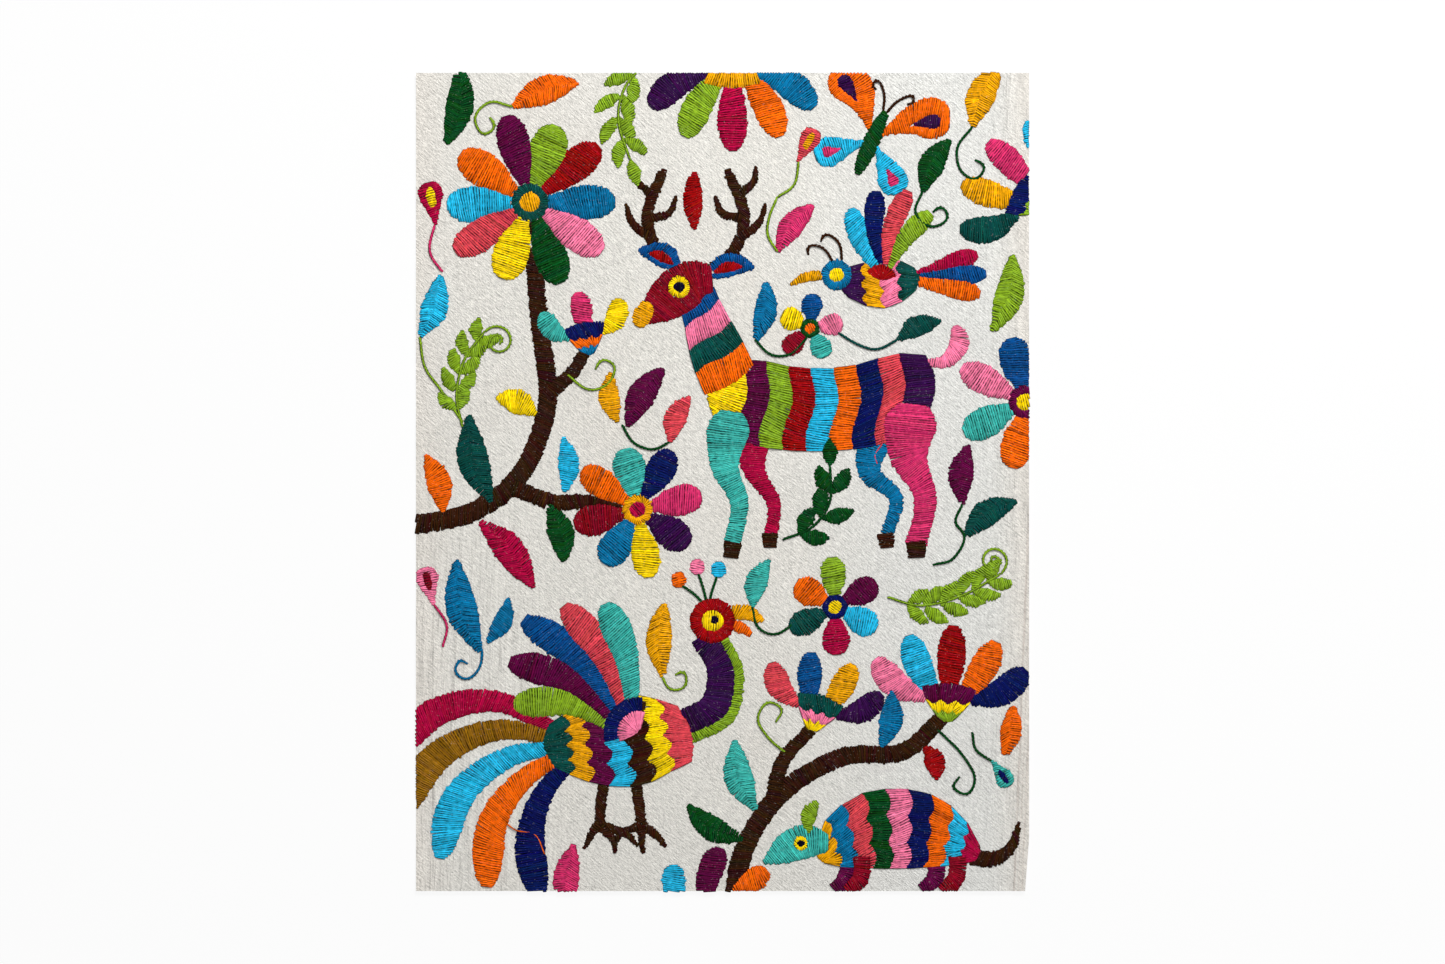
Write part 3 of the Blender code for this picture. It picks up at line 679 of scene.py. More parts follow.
def design() -> dict[str, list[Motif]]:
    """The cloth's motifs in the order in which they are worked, under the name of their piece."""
    d, f, h = Dye, Form, Work.HERRINGBONE
    return {
        "branch_stitches": [Scatter(Place(), (
            Stroke(d.BROWN, ((-128, -18), (-100, -12), (-80, 4), (-70, 32), (-73, 62), (-77, 104)),
                   7.6, f.STEM),
            Stroke(d.BROWN, ((-84, -2), (-68, -8), (-54, -8), (-40, -12)), 6.2, f.STEM),
            Stroke(d.BROWN, ((-70.5, 34), (-60, 44), (-54, 54)), 5.4, f.STEM),
            Stroke(d.BROWN, ((4, -170), (9, -146), (24, -124), (48, -110), (72, -108), (88, -94)),
                   7.6, f.STEM),
            Stroke(d.BROWN, ((20, -128), (24, -112), (36, -98)), 5.8, f.STEM),
        ))],
        "flower_stitches": [
            Flower(Place(-77, 112),
                   (d.AZURE, d.RED, d.LIME, d.PLUM, d.ORANGE, d.CYAN, d.CORAL, d.YELLOW, d.FOREST, d.PINK),
                   7, 27, 13.5, d.TEAL, d.GOLD, 7.5),
            Flower(Place(-34, -11, 12),
                   (d.ROSE, d.NAVY, d.MINT, d.ORANGE, d.CRIMSON, d.AZURE, d.YELLOW, d.VIOLET),
                   5.5, 20.5, 12, d.GOLD, d.RASPBERRY, 6),
            Flower(Place(121, 32), (d.CRIMSON, d.GOLD, d.BLUE, d.PINK, d.MINT, d.ORANGE, d.NAVY),
                   5, 22.5, 12, d.PLUM, d.YELLOW, 6.5),
            Flower(Place(45, -50, 30), (d.PLUM, d.LIME, d.ORANGE, d.TEAL, d.RASPBERRY, d.CYAN),
                   4, 15, 10.5, d.NAVY, d.YELLOW, 5),
            Flower(Place(35, 61.5, 10), (d.PINK, d.BLUE, d.YELLOW, d.CRIMSON, d.MINT),
                   3, 10, 8.5, d.FOREST, d.ORANGE, 3.8),
        ],
        "blossom_stitches": [
            Blossom(Place(90, -91, -4), (d.PINK, d.CYAN, d.RED, d.ORANGE, d.NAVY), 29, 11, 56,
                    (d.PLUM, d.YELLOW, d.LIME)),
            Blossom(Place(-54, 55, 10, .86), (d.MINT, d.ROSE, d.YELLOW), 20, 9.5, 36,
                    (d.NAVY, d.ORANGE, d.AZURE)),
            Blossom(Place(37, -95, -16, .95), (d.CORAL, d.BLUE, d.GOLD, d.VIOLET), 24, 10, 48,
                    (d.TEAL, d.PINK, d.YELLOW)),
            Blossom(Place(4, 168, 180), (d.AZURE, d.ORANGE, d.RASPBERRY, d.LIME, d.VIOLET), 31, 11.5, 58,
                    (d.GOLD, d.MINT, d.ROSE)),
            Blossom(Place(126, 112, 58), (d.TEAL, d.GOLD, d.ROSE, d.CYAN), 27, 10.5, 46,
                    (d.NAVY, d.LIME, d.ORANGE)),
        ],
        "deer_stitches": [Deer(Place(39, 31, 0, .98, True))],
        "bird_stitches": [Bird(Place(-41, -103, 0, .95))],
        "creature_stitches": [Armadillo(Place(68, -140.5, 0, .78)), Butterfly(Place(60, 137, -24, .95)),
                              Songbird(Place(66, 80, 8, .94, True))],
        "leaf_stitches": [
            Scatter(Place(), (
                Ray(d.TEAL, -92, -10, 104, 2, 36, 12, f.LEAF, 3, h),
                Ray(d.FOREST, -70, -7, -76, 2, 24, 10, f.LEAF, 2, h),
                Ray(d.CYAN, -63, -7, 92, 3, 22, 8, f.LEAF, -2),
                Ray(d.FOREST, 10, -144, 148, 2, 26, 9.5, f.LEAF, 3, h),
                Ray(d.AZURE, 63, -109, 80, 3, 23, 9, f.LEAF, -2),
                Ray(d.AZURE, -97, -68, 104, 0, 38, 12, f.LEAF, 3, h),
                Ray(d.AZURE, -95, -66, 64, 2, 20, 7, f.LEAF, -2),
                Ray(d.FOREST, -105, 168, -100, 0, 34, 10.5, f.LEAF, 3, h),
                Ray(d.ORANGE, -111, -14, 108, 2, 24, 9.5, f.LEAF, -2),
                Ray(d.PLUM, -38, 22, 58, 0, 28, 10.5, f.LEAF, 2, h),
                Ray(d.GOLD, -42, 24, 98, 0, 20, 8, f.LEAF, 2),
                Ray(d.LIME, 108, 60, 76, 0, 32, 11, f.LEAF, -3, h),
                Ray(d.TEAL, 97, -22, 34, 0, 25, 10, f.LEAF, 3, h),
                Ray(d.RED, -11, 101, 90, 0, 24, 7.5, f.LEAF, 1),
                Ray(d.GOLD, 100, 142, 66, 0, 27, 11, f.LEAF, 2, h),
                Ray(d.RASPBERRY, -98, -14, -52, 2, 34, 11.5, f.LEAF, 2, h),
                Ray(d.MINT, 14, -134, 106, 3, 29, 11, f.LEAF, 3, h),
                Ray(d.ORANGE, -84, 150, 20, 0, 28, 11, f.LEAF, 2, h),
                Ray(d.CYAN, -121, 58, 72, 0, 26, 10, f.LEAF, -2, h),
                Ray(d.AZURE, 13, 56, 80, 0, 25, 8.5, f.LEAF, -2, h),
                Ray(d.ROSE, 22, 92, 52, 0, 24, 9, f.LEAF, 2, h),
                Ray(d.YELLOW, -72, 26, 158, 3, 17, 9.5, f.LEAF, -2),
                Ray(d.PLUM, 96, -9, 84, 0, 24, 9.5, f.LEAF, 2, h),
                Ray(d.ORANGE, 113, -110, 82, 0, 21, 8, f.LEAF, -1, h),
                Ray(d.RED, 80, -103, -72, 3, 14, 8, f.LEAF, 2),
                Ray(d.GOLD, -24, -78, 88, 0, 30, 10, f.LEAF, 2, h),
                Ray(d.MINT, 12, -50, 70, 0, 20, 8.5, f.LEAF, 2),
                Ray(d.ROSE, -62, -172, 84, 0, 27, 10, f.LEAF, 2, h),
                Ray(d.CORAL, -21, 16, 66, 0, 20, 8.5, f.LEAF, 2),
                Ray(d.FOREST, 80, 116, 62, 0, 24, 9.5, f.LEAF, 2, h),
                Ray(d.TEAL, 70, 57, 22, 0, 19, 8, f.LEAF, 2),
                Ray(d.PLUM, -6, -176, 80, 0, 30, 10, f.FEATHER, 3),
                Ray(d.ORANGE, 2, -176, 52, 0, 26, 9, f.FEATHER, 3),
                Ray(d.CYAN, -12, -176, 108, 0, 24, 9, f.FEATHER, 3),
            )),
        ],
        "sprig_stitches": [
            Scatter(Place(), (
                Line(d.FOREST, ((100, 142), (94, 134), (95, 125), (101, 121), (105, 126), (101, 129))),
                Line(d.LIME, ((-84, 150), (-93, 152), (-99, 146), (-96, 139), (-91, 142), (-93, 146))),
                Line(d.LIME, ((-121, 58), (-119, 46), (-112, 36), (-104, 24))),
                Line(d.FOREST, ((34, 58), (27, 51), (19, 51), (13, 57))),
                Line(d.LIME, ((22, 92), (18, 99), (19, 107), (22, 114))),
                Line(d.FOREST, ((96, -9), (93, -16), (97, -22), (92, -31), (84, -33))),
                Line(d.LIME, ((-24, -78), (-21, -83), (-15, -82), (-15, -76), (-19, -77))),
                Line(d.FOREST, ((12, -50), (14, -58), (21, -61), (28, -57))),
                Line(d.FOREST, ((-40, 23), (-36, 16), (-28, 13), (-21, 16))),
                Line(d.FOREST, ((80, 116), (77, 108), (83, 102), (90, 105), (88, 110), (84, 108))),
                Line(d.TEAL, ((70, 57), (62, 53), (54, 55), (46, 60))),
                Line(d.AZURE, ((-96, -67), (-97, -74), (-102, -79), (-107, -76), (-105, -71), (-102, -73))),
                Line(d.LIME, ((-62, 43), (-54, 37), (-46, 39), (-43, 46), (-48, 49), (-51, 45))),
                Line(d.LIME, ((25, -108), (19, -103), (14, -95), (18, -88), (24, -91), (21, -96))),
                Line(d.FOREST, ((86, -99), (95, -108), (101, -118), (98, -125), (92, -122), (95, -118))),
            )),
            Sprig(Place(-104, 22, 62), d.LIME, ((0, 0), (10, 8), (24, 12), (38, 10)),
                  5, 11, 4.8, 6.5, -1.6),
            Sprig(Place(66, -46, -6), d.LIME, ((0, 0), (14, -2), (30, 4), (44, 14)), 6, 12, 5, 6, 1.7),
            Sprig(Place(24, -23, -16), d.FOREST, ((0, 0), (10, 8), (14, 20), (10, 34)), 4, 13, 6),
            Sprig(Place(-30, 168, 176), d.LIME, ((0, 0), (8, 10), (10, 24), (4, 40)), 5, 13, 5),
            Pod(Place(-112, -66, 12, .9), d.PINK, d.CRIMSON, d.ROSE),
            Pod(Place(-112, 84, 8), d.RASPBERRY, d.YELLOW, d.ROSE, -4),
            Pod(Place(100, -100, -146, .72), d.MINT, d.NAVY, d.FOREST),
            Pod(Place(22, 114, -30, .85), d.CORAL, d.GOLD, d.LIME),
            Scatter(Place(), (
                Line(d.ORANGE, ((-90, -133), (-83, -139), (-75, -141), (-71, -149)), True),
                Line(d.CORAL, ((62, 22), (64, 16), (61, 11), (62, 7)), True),
                Knot(d.LIME, 24, 30, .75), Knot(d.CYAN, -104, -124, .65), Knot(d.ROSE, 74, 21, .7),
            )),
        ],
    }


# The cloth's surface


@dataclass(frozen=True)
class Lie:
    """How the cloth lies: its outline, hem line and the height of its face."""

    width: float = 245.2
    length: float = 327.2
    edge_lean: float = 1.6
    edge_lean_from: float = 21.2
    hem_width: float = 4.4
    hem_height: float = 153.6
    thickness: float = 0.5
    rest: float = 0.3
    hem_rise: float = 0.34
    swell_count: int = 18
    swell: float = 0.14
    longest_swell: float = 70.0
    wrinkle_count: int = 10
    wrinkle: float = 0.028
    seed: int = 11

    def right_edge(self, y: Array) -> Array:
        """Where the right side is at a height up the cloth."""
        up = y + self.length / 2
        return self.width / 2 - self.edge_lean * np.clip(1 - up / self.edge_lean_from, 0, 1)

    def hem_line(self, y: Array) -> Array:
        """Where the turned hem's inner edge shows at a height up the cloth."""
        foot = self.width / 2 - self.edge_lean - self.hem_width
        return foot + (self.width / 2 - foot) * (y + self.length / 2) / self.hem_height

    def hem(self, x: Array, y: Array) -> Array:
        """How far a point is on the hem, from 0 on the single cloth to 1 on the turned strip."""
        return np.clip((x - self.hem_line(y)) / 0.9 + 0.5, 0, 1)

    def swells(self, x: Array, y: Array) -> Array:
        """Soft unevenness and faint upright wrinkles.

        Args:
            x: Places across the cloth.
            y: Places up the cloth.

        Returns:
            Heights in millimetres, about zero.
        """
        rng = np.random.default_rng(self.seed)
        z = np.zeros(np.broadcast(x, y).shape)
        for _ in range(self.swell_count):
            a, wave = rng.uniform(0, math.pi), rng.uniform(22, self.longest_swell)
            phase = rng.uniform(0, 2 * math.pi)
            rolling = np.sin((x * math.cos(a) + y * math.sin(a)) * 2 * math.pi / wave + phase)
            z = z + rolling * wave / self.longest_swell * self.swell / 2
        for _ in range(self.wrinkle_count):
            wave, lean, phase = rng.uniform(3.6, 8.5), rng.uniform(-.05, .05), rng.uniform(0, 2 * math.pi)
            here = np.clip(np.sin(y / rng.uniform(24, 48) + phase * 3 + x / 60), 0, 1)
            low_left = np.clip((-60 - x) / 40, 0, 1) * np.clip((30 - y) / 120, .2, 1)
            right = np.clip((x - 96) / 14, 0, 1)
            upright = np.sin((x + y * lean) * 2 * math.pi / wave + phase)
            z = z + upright * here * (low_left + right * .7) * self.wrinkle
        return z

    def face(self, x: Array, y: Array) -> Array:
        """Height of the embroidered face in millimetres."""
        return self.rest + self.thickness + .25 + self.swells(x, y) + self.hem(x, y) * self.hem_rise

    def back(self, x: Array, y: Array) -> Array:
        """Height of the cloth's underside in millimetres."""
        return np.maximum(self.face(x, y) - self.thickness - self.hem(x, y) * (self.hem_rise + .12), .02)

    def inside(self, points: Array) -> Array:
        """Whether points lie on the cloth."""
        x, y = points[..., 0], points[..., 1]
        return (x > -self.width / 2) & (x < self.right_edge(y)) & (abs(y) < self.length / 2)


# Node building


class Sock:
    """A node's output that can stand in an expression."""

    def __init__(self, tree: "Tree", socket: Any) -> None:
        """Wraps an output of a node in the given tree."""
        self.tree = tree
        self.socket = socket

    def __add__(self, other: Any) -> "Sock":
        """Adds a number or another value."""
        return self.tree.maths("ADD", self, other)

    def __sub__(self, other: Any) -> "Sock":
        """Takes a number or another value away."""
        return self.tree.maths("SUBTRACT", self, other)

    def __rsub__(self, other: Any) -> "Sock":
        """Takes this value away from a number."""
        return self.tree.maths("SUBTRACT", other, self)

    def __mul__(self, other: Any) -> "Sock":
        """Multiplies by a number or another value."""
        return self.tree.maths("MULTIPLY", self, other)

    def __truediv__(self, other: Any) -> "Sock":
        """Divides by a number or another value."""
        return self.tree.maths("DIVIDE", self, other)

    def __rtruediv__(self, other: Any) -> "Sock":
        """Divides a number by this value."""
        return self.tree.maths("DIVIDE", other, self)

    def __neg__(self) -> "Sock":
        """The value with its sign changed."""
        return self.tree.maths("MULTIPLY", self, -1.0)

    __radd__ = __add__
    __rmul__ = __mul__


@dataclass
class Tree:
    """A node tree under construction."""

    nodes: Any
    links: Any

    def put(self, kind: str, settings: dict[str, Any] | None = None,
            values: dict[Any, Any] | None = None) -> Any:
        """Adds a node.

        Args:
            kind: The node's type.
            settings: Its properties, which are set first.
            values: What goes into its sockets, by name, identifier or number: a value or a Sock.

        Returns:
            The node.
        """
        node = self.nodes.new(kind)
        for name, value in (settings or {}).items():
            setattr(node, name, value)
        for key, value in (values or {}).items():
            if isinstance(key, int):
                socket = node.inputs[key]
            else:
                socket = next(s for s in node.inputs if key in (s.identifier, s.name) and s.enabled)
            self.join(value, socket)
        return node

    def join(self, value: Any, socket: Any) -> None:
        """Links a Sock to a socket, or sets the socket to a plain value."""
        if isinstance(value, Sock):
            self.links.new(value.socket, socket)
        else:
            socket.default_value = value

    def out(self, node: Any, key: int | str = 0) -> Sock:
        """One of a node's outputs."""
        return Sock(self, node.outputs[key])

    def maths(self, operation: str, *values: Any, clamp: bool = False) -> Sock:
        """A Math node on numbers and values."""
        return self.out(self.put("ShaderNodeMath", {"operation": operation, "use_clamp": clamp},
                                 dict(enumerate(values))))

    def ease(self, value: Sock, low: float, high: float) -> Sock:
        """0 up to low and 1 from high on, smooth between them."""
        return self.out(self.put("ShaderNodeMapRange", {"interpolation_type": "SMOOTHSTEP"},
                                 {0: value, 1: low, 2: high, 3: 0.0, 4: 1.0}))

    def vector(self, operation: str, *values: Any) -> Sock:
        """A Vector Math node."""
        return self.out(self.put("ShaderNodeVectorMath", {"operation": operation}, dict(enumerate(values))))

    def scaled(self, value: Sock, by: Any) -> Sock:
        """A vector or colour times a number."""
        return self.out(self.put("ShaderNodeVectorMath", {"operation": "SCALE"}, {0: value, "Scale": by}))

    def noise(self, vector: Sock, scale: float, detail: float = 2.0, roughness: float = .5) -> Sock:
        """Noise between 0 and 1."""
        return self.out(self.put("ShaderNodeTexNoise", {}, {
            "Vector": vector, "Scale": scale, "Detail": detail, "Roughness": roughness}))

    def mixed(self, share: Any, a: Any, b: Any) -> Sock:
        """A colour between a and b."""
        node = self.put("ShaderNodeMix", {"data_type": "RGBA"}, {"Factor_Float": share})
        for value, key in ((a, "A_Color"), (b, "B_Color")):
            self.join(value, next(s for s in node.inputs if s.identifier == key))
        return Sock(self, next(s for s in node.outputs if s.identifier == "Result_Color"))


def shader(name: str) -> tuple[Any, Tree, Any]:
    """A new material with its tree and its Principled shader."""
    material = bpy.data.materials.new(name)
    material.use_nodes = True
    tree = Tree(material.node_tree.nodes, material.node_tree.links)
    return material, tree, material.node_tree.nodes["Principled BSDF"]


# Finishes


@dataclass(frozen=True)
class CottonFinish:
    """Off-white plain-weave cotton with slubs, a crepe-like grain, creases with painted shade, painted shade
    and stitch rows along the hem, painted light at the lower left and small flecks.
    """

    lie: Lie = Lie()
    light: tuple[float, float, float, float] = (0.735, 0.715, 0.665, 1)
    warm: tuple[float, float, float, float] = (0.735, 0.68, 0.615, 1)
    cool: tuple[float, float, float, float] = (0.722, 0.722, 0.695, 1)
    # Colour of the hem lines: painted shade at the hem's fold and creases, and the hem's stitch rows.
    shaded_creases: tuple[float, float, float, float] = (0.56, 0.47, 0.42, 1)
    fleck: tuple[float, float, float, float] = (.24, .2, .15, 1)
    pitch: float = 0.46
    crease_height: float = 2.6
    crease_shade: float = .42
    fleck_share: float = .3
    bump_depth: float = .0009

    def material(self) -> Any:
        """Builds the cotton's material."""
        material, t, bsdf = shader("woven_cotton")
        spot = t.out(t.put("ShaderNodeTexCoord"), "Object")
        mm = t.scaled(spot, 1000.0)
        x, y, _ = (t.out(t.put("ShaderNodeSeparateXYZ", {}, {0: mm}), k) for k in range(3))
        bent = t.noise(mm, .35, 2.0) - .5
        warp = t.maths("SINE", (x + bent * .5) * (2 * math.pi / self.pitch))
        weft = t.maths("SINE", (y + bent * .5) * (2 * math.pi / self.pitch))
        crepe = self.streaks(t, x, y, -38, .46, 2.5)
        fine = self.streaks(t, x, y, -50, .34, 1.5)
        slub_up = self.streaks(t, x, y, 90, .42, 5.0)
        slub_over = self.streaks(t, x, y, 0, .42, 4.0)
        crumple = self.streaks(t, x, y, 87, 1.9, 24.0)
        low_left = t.ease(-x, 40.0, 112.0) * t.ease(-y, -50.0, 90.0)
        right = t.ease(x, 92.0, 116.0)
        # Upright creases at the lower left and the right: they shape the bump and, through crease_shade,
        # paint their shade into the colour.
        shaded_creases = t.maths("MAXIMUM", low_left, right * .8) * (crumple - .5)
        grain = t.noise(mm, 1.75, 2.0, .6)
        height = (warp * weft * .03 + slub_up * .12 + slub_over * .08 + crepe * .36 + fine * .2
                  + shaded_creases * self.crease_height + grain * .34)
        # Painted light: low_left * .03 lifts the colour at the lower left, where the creases' bump shading
        # darkens it.
        shade = ((crepe - .5) * .68 + (fine - .5) * .72 + (slub_up - .5) * .24 + (slub_over - .5) * .14
                 + (grain - .5) * .78 + warp * weft * .012 + shaded_creases * self.crease_shade
                 + low_left * .03)
        edges = t.ease(t.maths("ABSOLUTE", x), 104.0, 123.0)
        cool = t.ease(x, 15.0, 80.0) - edges
        patches = t.noise(mm, .018, 2.0)
        aged = t.maths("MAXIMUM", edges * .45, t.ease(patches, .45, .75) * .3)
        tint = t.mixed(aged, self.light, self.warm)
        tint = t.mixed(t.maths("MAXIMUM", cool, 0.0) * .8, tint, self.cool)
        flecks = t.ease(t.noise(mm, 1.15, 2.0), .785, .82)
        # The hem lines pull the colour towards their painted shade, then shade (grain, painted crease shade
        # and painted light) scales it.
        colour = t.scaled(t.mixed(self.hem_shade_and_stitch_lines(t, x, y), tint, self.shaded_creases), shade + 1.0)
        colour = t.mixed(flecks * self.fleck_share, colour, self.fleck)
        t.join(colour, bsdf.inputs["Base Color"])
        bump = t.put("ShaderNodeBump", {}, {"Strength": 1.0, "Distance": self.bump_depth, "Height": height})
        t.join(t.out(bump), bsdf.inputs["Normal"])
        bsdf.inputs["Roughness"].default_value = .92
        bsdf.inputs["Specular IOR Level"].default_value = .2
        bsdf.inputs["Sheen Weight"].default_value = .08
        return material

    def hem_shade_and_stitch_lines(self, t: Tree, x: Sock, y: Sock) -> Sock:
        """Darker lines along the turned hem: painted shade at its fold and creases, and its rows of hem
        stitching.

        Args:
            t: The material's tree.
            x: Millimetres across the cloth.
            y: Millimetres up the cloth.

        Returns:
            0 on plain cloth, up to 1 in the middle of a line.
        """
        lie = self.lie
        foot = lie.width / 2 - lie.edge_lean - lie.hem_width
        past = x - (y + lie.length / 2) * ((lie.width / 2 - foot) / lie.hem_height) - foot
        wobble = (t.noise(t.out(t.put("ShaderNodeCombineXYZ", {}, {0: y * .05})), 1.0, 2.0) - .5) * 1.6
        shade_and_stitch_lines = 0.0
        for off, width, depth in ((0.0, .75, .5), (1.7, .5, .3), (3.2, .6, .4)):
            near = t.maths("ABSOLUTE", past + wobble * .4 - off)
            shade_and_stitch_lines = (1.0 - t.ease(near, 0.0, width)) * depth + shade_and_stitch_lines
        broken = t.ease(self.streaks(t, x, y, 90, 1.2, 9.0), .3, .6)
        return shade_and_stitch_lines * (1.0 - t.ease(y, -40.0, 0.0)) * (broken * .6 + .4)

    def streaks(self, t: Tree, x: Sock, y: Sock, angle: float, across: float, along: float) -> Sock:
        """Noise drawn out in one direction.

        Args:
            t: The material's tree.
            x: Millimetres across the cloth.
            y: Millimetres up the cloth.
            angle: Direction of the streaks, in degrees.
            across: Their width in millimetres.
            along: Their length in millimetres.

        Returns:
            Values between 0 and 1.
        """
        c, s = math.cos(math.radians(angle)), math.sin(math.radians(angle))
        run, over = (x * c + y * s) / along, (y * c - x * s) / across
        return t.noise(t.out(t.put("ShaderNodeCombineXYZ", {}, {0: run, 1: over})), .7, 2.0, .55)


@dataclass(frozen=True)
class FlossFinish:
    """Loosely twisted cotton floss; its colour comes with each stitch, with painted shade at each thread's
    sides and ends.
    """

    strands: float = 5.0
    twist: float = .16
    painted_crevice_shade: float = .95
    root_shade: float = .45
    strand_shade: float = .07
    fray_shade: float = .46
    blotch_shade: float = .75
    brightness: float = 1.37
    pale_specks: tuple[float, float, float, float] = (.62, .58, .54, 1)
    pale_speck_share: float = .24

    def material(self) -> Any:
        """Builds the floss's material."""
        material, t, bsdf = shader("cotton_floss")
        dye = t.out(t.put("ShaderNodeAttribute", {"attribute_name": "dye"}), "Color")
        uv = t.out(t.put("ShaderNodeUVMap", {"uv_map": "run"}))
        along, around, _ = (t.out(t.put("ShaderNodeSeparateXYZ", {}, {0: uv}), k) for k in range(3))
        spot = t.scaled(t.out(t.put("ShaderNodeTexCoord"), "Object"), 1000.0)
        fray = t.noise(t.out(t.put("ShaderNodeCombineXYZ", {}, {0: along * .7, 1: around * 9.0})), 1.0, 2.0)
        strand = t.maths("SINE", (around * self.strands + along * self.twist + fray * .5) * (2 * math.pi))
        blotch = t.noise(spot, .9, 2.0, .6) - .5
        # Painted shade: each thread is darker towards its sides, where its neighbours and the cloth shade
        # it, broken up by noise.
        side = t.maths("ABSOLUTE", t.maths("COSINE", around * (2 * math.pi)))
        broken = t.noise(spot, .6, 1.0) * 4.0 - .95
        painted_crevice_shade = t.maths("MULTIPLY", side * side, broken, clamp=True) * self.painted_crevice_shade
        shade = (strand * self.strand_shade + (fray - .5) * self.fray_shade + blotch * self.blotch_shade
                 + self.brightness) * (1.0 - painted_crevice_shade)
        # Painted shade where each thread dives into the cloth: darker over the last part of its rise.
        rise = t.out(t.put("ShaderNodeAttribute", {"attribute_name": "rise"}), "Fac")
        shade = shade * (rise * self.root_shade + (1.0 - self.root_shade))
        # Pale specks mixed into the colour at random.
        pale_specks = t.ease(t.noise(spot, 1.6, 2.0), .65, .73) * self.pale_speck_share
        t.join(t.mixed(pale_specks, t.scaled(dye, shade), self.pale_specks), bsdf.inputs["Base Color"])
        bump = t.put("ShaderNodeBump", {}, {
            "Strength": .8, "Distance": .00016, "Height": strand * .6 + fray * .9})
        t.join(t.out(bump), bsdf.inputs["Normal"])
        t.join(fray * .2 + .5, bsdf.inputs["Roughness"])
        bsdf.inputs["Specular IOR Level"].default_value = .04
        return material


@dataclass(frozen=True)
class FloorFinish:
    """A plain pale studio floor."""

    tone: tuple[float, float, float, float] = (.09, .09, .09, 1)
    worn: tuple[float, float, float, float] = (.08, .08, .08, 1)
    glow: float = .878

    def material(self) -> Any:
        """Builds the floor's material."""
        material, t, bsdf = shader("studio_floor")
        spot = t.out(t.put("ShaderNodeTexCoord"), "Object")
        t.join(t.mixed(t.noise(spot, 3.0) * .2, self.tone, self.worn), bsdf.inputs["Base Color"])
        bsdf.inputs["Roughness"].default_value = .9
        bsdf.inputs["Emission Color"].default_value = (1, 1, 1, 1)
        bsdf.inputs["Emission Strength"].default_value = self.glow
        return material


# Pieces


def mesh_object(name: str, points: Array, faces: Any, edges: Any = ()) -> Any:
    """A new mesh object at the origin, linked to the scene.

    Args:
        name: The object's and the mesh's name.
        points: Vertices in millimetres.
        faces: Corner numbers of each face.
        edges: Vertex numbers of each loose edge.

    Returns:
        The object.
    """
    mesh = bpy.data.meshes.new(name)
    mesh.from_pydata((np.asarray(points) * MM).tolist(), list(edges), faces)
    made = bpy.data.objects.new(name, mesh)
    bpy.context.scene.collection.objects.link(made)
    return made


@dataclass(frozen=True)
class Sheet:
    """The cotton sheet: a closed thin mesh with a face, a back and four sides."""

    lie: Lie
    finish: CottonFinish = CottonFinish()
    cell: float = 2.2
    hem_cell: float = .5
    fine_strip: float = 8.0

    def build(self) -> Any:
        """Makes and dresses the sheet."""
        lie, strip = self.lie, self.fine_strip
        across = np.linspace(-lie.width / 2, lie.width / 2 - strip, round((lie.width - strip) / self.cell))
        edge = np.linspace(lie.width / 2 - strip, lie.width / 2, round(strip / self.hem_cell) + 1)[1:]
        u, v = np.concatenate([across, edge]), np.linspace(-lie.length / 2, lie.length / 2,
                                                          round(lie.length / self.cell))
        x, y = np.meshgrid(u, v)
        leant = x - (lie.width / 2 - lie.right_edge(y)) * (x - lie.width / 2 + strip) / strip
        x = np.where(x > lie.width / 2 - strip, leant, x)
        top = lie.face(x, y)
        bottom = lie.back(x, y)
        rows, columns = x.shape
        points = np.concatenate([np.stack([x, y, z], axis=2).reshape(-1, 3) for z in (top, bottom)])
        n = rows * columns
        number = np.arange(n).reshape(rows, columns)
        a, b, c, d = number[:-1, :-1], number[:-1, 1:], number[1:, 1:], number[1:, :-1]
        face = np.stack([a, b, c, d], axis=2).reshape(-1, 4)
        border = np.concatenate([number[0], number[1:, -1], number[-1, -2::-1], number[-2:0:-1, 0]])
        after = np.roll(border, -1)
        side = np.stack([border, border + n, after + n, after], axis=1)
        faces = np.concatenate([face, face[:, ::-1] + n, side])
        made = mesh_object("cotton_sheet", points, faces.tolist())
        made.data.polygons.foreach_set("use_smooth", np.ones(len(faces), bool))
        made.data.set_sharp_from_angle(angle=math.radians(50))
        made.data.materials.append(self.finish.material())
        return made


@dataclass
class Threads:
    """Threads gathered for one piece."""

    paths: list[Array] = field(default_factory=list)
    dyes: list[Array] = field(default_factory=list)
    girths: list[float] = field(default_factory=list)
    lifts: list[float] = field(default_factory=list)
    domes: list[float] = field(default_factory=list)

    def add(self, path: Array, dye: Array, girth: float, lift: float, dome: float) -> None:
        """Adds a thread.

        Args:
            path: Where it runs, X and Y.
            dye: Its linear colour.
            girth: Half its width.
            lift: Height of its middle over the cloth.
            dome: How much further it rises halfway along.
        """
        for held, new in ((self.paths, path), (self.dyes, dye), (self.girths, girth), (self.lifts, lift),
                          (self.domes, dome)):
            held.append(new)

    def spread(self, values: Any) -> Array:
        """A value of each thread, repeated for each of its points."""
        return np.repeat(np.array(values), [len(path) for path in self.paths], axis=0)


